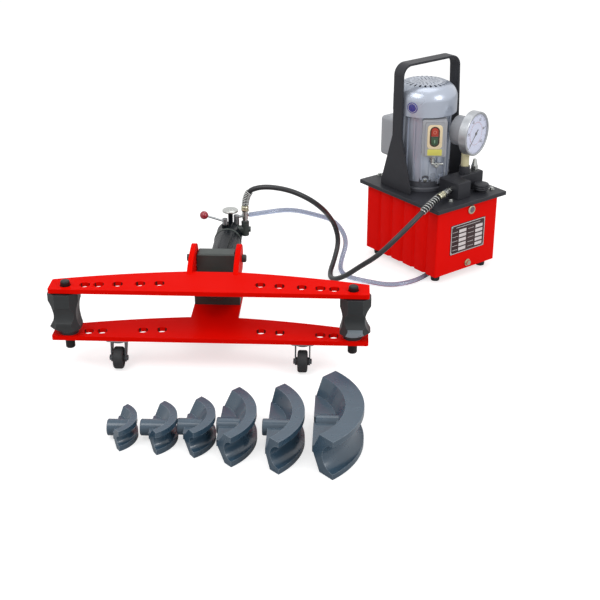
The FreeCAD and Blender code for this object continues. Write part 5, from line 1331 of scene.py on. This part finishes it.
@dataclass
class PumpUnit:
    """The tank with its cover plate, valve block, motor and handle."""

    frame: Mapping
    foot_top: float = 234.0
    slot_rings: Sequence[tuple[int, float, float]] = (
        (8, 13.5, 2.6), (14, 22.5, 3.6), (20, 31.5, 3.6),
    )
    slot_half_width: float = 1.3
    slot_depth: float = 8.0
    cowl_top: float = 484.0
    badge_turn: float = 204.0
    badge_height: float = 434.0
    badge_reach: float = 80.5
    badge_profile: Profile = ((0, 0), (14, 0), (14, 1.4), (13.4, 2.0), (10, 2.4), (0, 2.6))
    badge_ring_reach: float = 82.7
    badge_ring: Profile = ((10.6, 0), (11.4, 0), (11.4, 0.4), (10.6, 0.4), (10.6, 0))
    gland_place: Point = (-2, 16, 290)
    gland_profile: Profile = ((0, 0), (5.6, 0), (6.4, 1), (6.4, 9), (7.2, 10), (7.2, 12), (0, 12))
    plug_place: Point = (8, 16, 284)
    plug_profile: Profile = ((0, 0), (5, 0), (5, 3), (3.6, 5), (0, 5.6))
    bolt_reach: float = 62.5
    bolt_height: float = 240.4
    bolt_turns: Sequence[float] = (-90, 0, 90, 180)
    bolt_crown: Profile = ((0, 4.4), (4.2, 4.4), (3.6, 5.8), (2, 6.6), (0, 6.9))
    bolt_washer: Profile = ((0, -1.2), (7.8, -1.2), (7.8, 0), (0, 0))
    arch_turns: Sequence[float] = (234, 324, 54, 144)
    arch_place: Point = (62, 0, 238)
    arch_profile: Profile = (
        (0, 0), (15.5, 0), (15.5, 5), (14.5, 6), (10, 6), (9, 5), (9, 3.5), (0, 3.5),
    )
    stud_place: Point = (65.3, 0, 240)
    stud_end: Profile = ((0, 4.3), (3.6, 4.3), (3.0, 5.9), (0, 6.3))
    collar_place: Point = (151, 66, 254.05)
    collar_profile: Profile = (
        (13.1, 0), (15.2, 0), (15.2, 1.8), (13.7, 2), (13.7, 18.6), (12.6, 20.3), (10.7, 20.3),
        (10.7, 20.1), (13.1, 18.4), (13.1, 0),
    )
    screw_spots: Sequence[tuple[float, float]] = ((60, 18), (206, 18), (46, 277), (206, 270))
    screw_height: float = 209.95
    screw_washer: Profile = ((0, 0), (7.2, 0), (7.2, 1.2), (0, 1.2))
    screw_crown: Profile = ((0, 5.6), (3.9, 5.6), (3.0, 6.6), (0, 6.9))
    pane_place: Point = (116, -3.45, 181)
    pane_profile: Profile = ((0, 0), (7.4, 0), (7.4, 0.5), (6, 1.0), (0, 1.5))

    def build(self) -> None:
        """Refine the pump's CAD nodes and dress them."""
        for node, finish, slot, bevel in (
            ("tank", TANK_RED, "red_paint", 1.0),
            ("tank_feet", RUBBER, "rubber", 0.8),
            ("top_plate", BLACK, "black_paint", 0.8),
            ("sight_glass", NICKEL, "brass", 0.4),
            ("drain_plug", NICKEL, "brass", 0.5),
            ("pump_unit", OXIDE, "black_paint", 1.0),
            ("motor_flange", FOOT, "motor_paint", 0.8),
            ("motor_rotor", ZINC, "zinc_steel", 0.8),
            ("motor_fan", BLACK, "black_paint", 0.5),
            ("capacitor_box", HOUSING, "motor_paint", 0.6),
            ("switch_box", HOUSING, "switch_plastic", 0.6),
            ("carry_handle", BLACK, "black_paint", 1.2),
            ("valve_block", BLACK, "black_paint", 1.0),
            ("relief_valve", BRIGHT, "bright_steel", 0.4),
            ("filler_cap", BLACK, "black_paint", 0.5),
            ("gauge_stem", CREAM_STEM, "brass", 0.5),
        ):
            refine(self.frame, node, finish, bevel)
        self.cowl()
        in_foot = lambda face: face.center.z < self.foot_top * MM
        refine(self.frame, "motor_body", MOTOR, 0.8, second=FOOT, where=in_foot)
        self.badge()
        self.gland()
        self.foot()
        self.collar()
        self.cover_screws()
        self.sight_window()

    def cowl(self) -> None:
        """Cut rings of air slots through the top of the cowl's copy."""
        shell = refine(self.frame, "motor_cowl", MOTOR, 0.4)
        wide, deep = self.slot_half_width, self.slot_depth
        slots = []
        for count, reach, half in self.slot_rings:
            slot = plate((-half, -wide, -deep), (half, wide, deep), 0.8, 0.1)
            slots.append(copies(slot, ring(count, reach, self.cowl_top)))
        tool = only(join(slots))
        tool.matrix_world = MOTOR_SEAT @ tool.matrix_world
        bpy.ops.object.transform_apply(location=True, rotation=True, scale=True)
        cut(shell, tool)

    def badge(self) -> None:
        """Set the plain blue disc on the cowl."""
        seat = MOTOR_SEAT @ about_z(self.badge_turn)
        disc = turned(self.badge_profile, (self.badge_reach, 0, self.badge_height), TO_X)
        settle(disc, "cowl_badge", seat, BLUE)
        band = turned(self.badge_ring, (self.badge_ring_reach, 0, self.badge_height), TO_X)
        settle(band, "cowl_badge_ring", seat, WHITE_INK)

    def gland(self) -> None:
        """Model the cable gland under the switch, with its nut, plug and cross pipe."""
        x, y, z = self.gland_place
        plug_x, plug_y, plug_z = self.plug_place
        gland = join([
            disc_bar(8.5, 7, (x, y, z + 12), bevel=0.8, sides=6),
            turned(self.gland_profile, self.gland_place),
            disc_bar(7.5, 9, self.plug_place, TO_MINUS_Y, 0.8, 6),
            turned(self.plug_profile, (plug_x, plug_y - 9, plug_z), TO_MINUS_Y),
            disc_bar(3.4, 30, (x - 2, y - 4, z - 3), TO_X, 0.5, 20),
        ])
        settle(gland, "switch_gland", SWITCH, BRIGHT, degrees=35)

    def foot(self) -> None:
        """Bolt the motor's foot down, and set arches and studs round it."""
        bolt = join([
            disc_bar(6.4, 4.6, (0, 0, 0), bevel=0.7, sides=6),
            turned(self.bolt_crown),
            turned(self.bolt_washer),
        ])
        places = [about_z(a) @ shift(self.bolt_reach, 0, self.bolt_height) for a in self.bolt_turns]
        bolts = copies(bolt, places)
        settle(bolts, "foot_bolts", MOTOR_SEAT, BRIGHT, degrees=35)
        places = [about_z(a) for a in self.arch_turns]
        arches = copies(turned(self.arch_profile, self.arch_place, TO_X, 40), places)
        settle(arches, "foot_arches", MOTOR_SEAT, FOOT, degrees=35)
        stud = join([
            disc_bar(5.6, 4.5, self.stud_place, TO_X, 0.7, 6),
            turned(self.stud_end, self.stud_place, TO_X, 24),
        ])
        studs = copies(stud, places)
        settle(studs, "foot_studs", MOTOR_SEAT, BRIGHT, degrees=35)

    def collar(self) -> None:
        """Seat the gauge's stem in its collar."""
        collar = turned(self.collar_profile, self.collar_place)
        settle(collar, "stem_collar", PUMP, BLACK, degrees=35)

    def cover_screws(self) -> None:
        """Screw the cover plate down."""
        screw = join([
            turned(self.screw_washer),
            disc_bar(5.6, 4.6, (0, 0, 1.1), bevel=0.6, sides=6),
            turned(self.screw_crown),
        ])
        spots = [shift(x, y, self.screw_height) for x, y in self.screw_spots]
        settle(copies(screw, spots), "cover_screws", PUMP, BRIGHT, degrees=35)

    def sight_window(self) -> None:
        """Glaze the sight glass."""
        pane = turned(self.pane_profile, self.pane_place, TO_MINUS_Y)
        settle(pane, "sight_pane", PUMP, OIL_GLASS)


@dataclass
class Switch:
    """The switch panel with its two push buttons."""

    panel: Slab = ((-18.5, -1.0, 330.5), (19.5, 0.2, 393.5), 9.0)
    surround: Slab = ((-12.4, -1.7, 336.6), (12.4, -0.8, 389.4), 12.3)
    label: Slab = ((-17, -0.5, 313.2), (20, 0.1, 329.6), 1.2)
    lid: Slab = ((-28.6, 2.2, 311.5), (28.6, 3.2, 403.5), 4.0)
    lid_window: Slab = ((-24.2, 1, 311), (24.2, 5, 399.4), 3.0)
    button_half: float = 9.0
    button_round: float = 8.0
    button_gap: float = 0.5
    stop_z: tuple[float, float] = (364.0, 386.0)
    start_z: tuple[float, float] = (340.0, 362.0)
    circle_profile: Profile = ((3.4, 0), (4.5, 0), (4.5, 0.35), (3.4, 0.35), (3.4, 0))
    circle_y: float = -2.9
    bar_half: Point = (1.1, 0.25, 4.0)
    bar_y: float = -3.05

    def build(self) -> None:
        """Model the panel, the oval surround, both buttons and the label."""
        for name, finish, slab in (
            ("switch_panel", CREAM, self.panel),
            ("button_surround", SURROUND, self.surround),
        ):
            face = cut(plate(*slab), self.opening())
            settle(face, name, SWITCH, finish)
        label = plate(*self.label, 0.15)
        settle(label, "plain_label", SWITCH, YELLOW)
        lid = cut(plate(*self.lid, 0.6), plate(*self.lid_window, 0.1))
        settle(lid, "switch_lid", SWITCH, HOUSING)
        upper = lambda middle: middle.z > (self.stop_z[0] + 10) * MM
        lower = lambda middle: middle.z < (self.start_z[1] - 10) * MM
        self.button("stop", STOP_RED, self.stop_z, upper)
        self.button("start", START_GREEN, self.start_z, lower)
        self.marks()

    def marks(self) -> None:
        """Mould the circle into the stop button and the bar into the start button."""
        circle = turned(self.circle_profile, (0, self.circle_y, sum(self.stop_z) / 2), TO_MINUS_Y)
        settle(circle, "stop_mark", SWITCH, PALE_RED, Body.STOP.value)
        x, y, z = self.bar_half
        middle = sum(self.start_z) / 2
        bar = plate((-x, self.bar_y - y, middle - z), (x, self.bar_y + y, middle + z), 0.4, 0.1)
        settle(bar, "start_mark", SWITCH, PALE_GREEN, Body.START.value)

    def opening(self) -> bpy.types.Object:
        """Model the tool that cuts the buttons' opening.

        Returns:
            The tool, a little larger than both buttons together.
        """
        half = self.button_half + self.button_gap
        low, high = self.start_z[0] - self.button_gap, self.stop_z[1] + self.button_gap
        return plate((-half, -8, low), (half, 8, high), self.button_round + 0.4, 0.1)

    def button(
        self, name: str, finish: Finish, heights: tuple[float, float], test: Callable
    ) -> None:
        """Model one button with its outer corners rounded.

        Args:
            name: Body name of the button.
            finish: Its finish.
            heights: Its bottom and top.
            test: Says which corners are rounded.
        """
        half = self.button_half
        cap = plate((-half, -3, heights[0]), (half, 6.5, heights[1]), self.button_round, 1.1, test)
        settle(cap, name + "_cap", SWITCH, finish, name, [name + "_button"])


@dataclass
class Gauge:
    """The face of the pressure gauge: scale, numbers, glass and bezel."""

    centre_z: float = 364.0
    case_y: float = -30.0
    pane_y: float = -28.9
    dial_y: float = -27.0
    sweep: float = 270.0
    mark_rings: Sequence[tuple[str, float, float, float, int, Finish]] = (
        ("fine_marks", 0.5, 3.2, 47.6, 51, INK),
        ("long_marks", 0.9, 6.0, 45.8, 11, INK),
        ("inner_marks", 0.5, 2.4, 30.5, 31, RED_INK),
    )
    numbers: int = 6
    number_step: int = 20
    number_reach: float = 36.5
    number_size: float = 9.5
    needle_rest: float = 45.0
    needle_low: Point = (-1.7, -28.0, -42)
    needle_high: Point = (1.7, -27.4, 13)
    needle_taper: float = 0.3
    hub_y: float = -27.1
    hub_profile: Profile = ((0, 0), (4.4, 0), (4.4, 1.0), (3.6, 1.5), (0, 1.6))
    arc_profile: Profile = ((28.8, 0), (29.3, 0), (29.3, 0.25), (28.8, 0.25), (28.8, 0))
    dial_profile: Profile = ((0, 0), (52.3, 0), (52.3, 1.0), (0, 1.0))
    pane_profile: Profile = ((0, 0), (52, 0), (52, 0.8), (26, 1.4), (0, 1.6))
    rim_profile: Profile = (
        (51.2, -2), (51.2, 0.6), (52.6, 1.4), (55.4, 1.4), (56.9, 0), (57.1, -20.6), (56.7, -20.6),
        (56.4, -0.6), (52.4, -0.6), (52.4, -2), (51.2, -2),
    )
    case_profile: Profile = (
        (0, 4.5), (53, 4.5), (53, -0.2), (56.3, -0.2), (56.3, 11), (54.5, 12.5), (47, 13), (46, 16),
        (39, 27), (38, 29), (38, 58.5), (36.5, 60), (0, 60),
    )

    def build(self) -> None:
        """Print the dial, then glaze and frame it."""
        for row in self.mark_rings:
            self.marks(*row)
        self.digits()
        arc = turned(self.arc_profile, (0, self.dial_y + 0.1, self.centre_z), TO_MINUS_Y, 96)
        settle(arc, "inner_ring", GAUGE, RED_INK)
        self.needle()
        pane = turned(self.pane_profile, (0, self.pane_y, self.centre_z), TO_MINUS_Y, 96)
        settle(pane, "gauge_pane", GAUGE, GLASS)
        self.shell()
        dial = turned(self.dial_profile, (0, self.dial_y + 1.0, self.centre_z), TO_MINUS_Y, 96)
        settle(dial, "gauge_face", GAUGE, DIAL, replaces=["gauge_dial"])

    def shell(self) -> None:
        """Turn the bezel and the housing behind it."""
        centre = (0, self.case_y, self.centre_z)
        bezel = turned(self.rim_profile, centre, TO_MINUS_Y, 96)
        settle(bezel, "gauge_bezel_ring", GAUGE, BEZEL, degrees=40)
        case = turned(self.case_profile, centre, (-math.pi / 2, 0, 0), 96)
        settle(
            case, "gauge_housing", GAUGE, HOUSING, replaces=["gauge_case"],
            degrees=40,
        )

    def marks(
        self, name: str, width: float, length: float, reach: float, count: int, ink: Finish
    ) -> None:
        """Print one ring of scale marks.

        Args:
            name: Piece name.
            width: Width of a mark in millimetres.
            length: Its length.
            reach: Radius of its middle.
            count: How many over the sweep.
            ink: Its finish.
        """
        half, tall = width / 2, length / 2
        one = plate((-half, -0.12, -tall), (half, 0.12, tall), width / 4, 0.03)
        place = shift(0, self.dial_y - 0.1, self.centre_z)
        moves = []
        for k in range(count):
            turn = Matrix.Rotation(self.bearing(k, count), 4, "Y")
            moves.append(place @ turn @ shift(0, 0, reach))
        settle(copies(one, moves), name, GAUGE, ink)

    def bearing(self, index: int, count: int) -> float:
        """Return the angle from the top of one mark among several over the sweep."""
        return math.radians(-self.sweep / 2 + self.sweep * index / (count - 1))

    def needle(self) -> None:
        """Model the tapered needle with its hub."""
        blade = box(self.needle_low, self.needle_high)
        with editing(blade) as cage:
            for vert in cage.verts:
                vert.select_set(vert.co.z < 0)
            bmesh.update_edit_mesh(blade.data)
            bpy.ops.transform.resize(value=(self.needle_taper, 1, 1), center_override=(0, 0, 0))
            bpy.ops.mesh.select_all(action="SELECT")
            bpy.ops.mesh.bevel(offset=0.12 * MM, segments=1, affect="EDGES")
        hub = turned(self.hub_profile, (0, self.hub_y, 0), TO_MINUS_Y)
        turn = Matrix.Rotation(math.radians(self.needle_rest), 4, "Y")
        seat = GAUGE @ shift(0, 0, self.centre_z) @ turn
        settle(
            join([blade, hub]), "needle_blade", seat, INK, Body.NEEDLE.value,
            ["gauge_needle"],
        )

    def digits(self) -> None:
        """Print the plain numbers of the scale."""
        made = []
        for k in range(self.numbers):
            turn = self.bearing(k, self.numbers)
            across, up = self.number_reach * math.sin(turn), self.number_reach * math.cos(turn)
            place = (across * MM, (self.dial_y - 0.1) * MM, (self.centre_z + up) * MM)
            bpy.ops.object.select_all(action="DESELECT")
            bpy.ops.object.text_add(location=place, rotation=TO_MINUS_Y)
            word = bpy.context.active_object
            word.data.body = str(k * self.number_step)
            word.data.size = self.number_size * MM
            word.data.extrude = 0.1 * MM
            word.data.align_x, word.data.align_y = "CENTER", "CENTER"
            bpy.ops.object.convert(target="MESH")
            bpy.ops.object.transform_apply(location=True, rotation=True, scale=True)
            made.append(word)
        settle(join(made), "dial_numbers", GAUGE, INK)


@dataclass
class DataPlate:
    """The plain plate on the tank: a white border and two columns of blank cells."""

    left: float = 48.0
    right: float = 170.0
    low: float = 68.5
    high: float = 150.0
    border: tuple[float, float] = (1.4, 3.0)
    rows: int = 5
    first_row: float = 12.0
    pitch: float = 12.3
    cells: Sequence[tuple[float, float]] = ((77.0, 25.5), (135.5, 25.5))
    cell_half: float = 4.3
    rules: Sequence[tuple[float, float]] = ((54.0, 19.0), (109.0, 21.0))
    rule_half: float = 0.5
    heading: tuple[float, float] = (66.0, 152.0)
    heading_drop: tuple[float, float] = (9.4, 8.2)
    rivet_inset: float = 5.0
    rivet_profile: Profile = ((0, 0), (2.1, 0), (1.8, 0.8), (1.0, 1.3), (0, 1.5))

    def build(self) -> None:
        """Model the plate, its printed border, rules and cells, and its rivets."""
        base = plate((self.left, -1.0, self.low), (self.right, 0.1, self.high), 2.5, 0.3)
        settle(base, "data_plate", PUMP, PLATE_DARK)
        outer = plate(*self.inset(self.border[0], -1.25, -0.9), 1.6, 0.08)
        inner = plate(*self.inset(self.border[1], -3, 1), 1.0, 0.1)
        settle(cut(outer, inner), "plate_border", PUMP, WHITE_INK)
        self.print_cells()
        rivet = turned(self.rivet_profile, (0, 0, 0), TO_MINUS_Y, 20)
        inset = self.rivet_inset
        spots = [
            shift(a, -0.9, z)
            for a in (self.left + inset, self.right - inset)
            for z in (self.low + inset, self.high - inset)
        ]
        settle(copies(rivet, spots), "plate_rivets", PUMP, ZINC)

    def inset(self, edge: float, front: float, back: float) -> tuple[Point, Point]:
        """Return the corners of the plate drawn in by an edge, from front to back."""
        low = (self.left + edge, front, self.low + edge)
        return low, (self.right - edge, back, self.high - edge)

    def print_cells(self) -> None:
        """Print the heading's rule and the rows of rules and blank cells."""
        made = []
        for k in range(self.rows):
            middle = self.low + self.first_row + self.pitch * k
            low, high = middle - self.cell_half, middle + self.cell_half
            for start, width in self.cells:
                made.append(plate((start, -1.3, low), (start + width, -0.9, high), 0.8, 0.08))
            low, high = middle - self.rule_half, middle + self.rule_half
            for start, width in self.rules:
                made.append(box((start, -1.2, low), (start + width, -0.9, high), 0.08, 1))
        low, high = (self.high - drop for drop in self.heading_drop)
        made.append(box((self.heading[0], -1.2, low), (self.heading[1], -0.9, high), 0.08, 1))
        settle(join(made), "plate_cells", PUMP, WHITE_INK)


@dataclass
class Formers:
    """The six loose bending formers."""

    frame: Mapping
    count: int = 6

    def build(self) -> None:
        """Refine the formers' CAD nodes."""
        for index in range(1, self.count + 1):
            refine(self.frame, "former_%d" % index, FORMER, 2.0, 3, 30)


def main() -> None:
    """Build the whole dressed pipe bender."""
    logging.basicConfig(level=logging.INFO, format="%(name)s %(message)s")
    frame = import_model()
    bpy.context.scene.view_settings.view_transform = "Standard"
    Studio().build()
    Hoses(frame).build()
    BendingFrame(frame).build()
    Cylinder(frame).build()
    PumpUnit(frame).build()
    Switch().build()
    Gauge().build()
    DataPlate().build()
    Formers(frame).build()


if __name__ == "__main__":
    main()
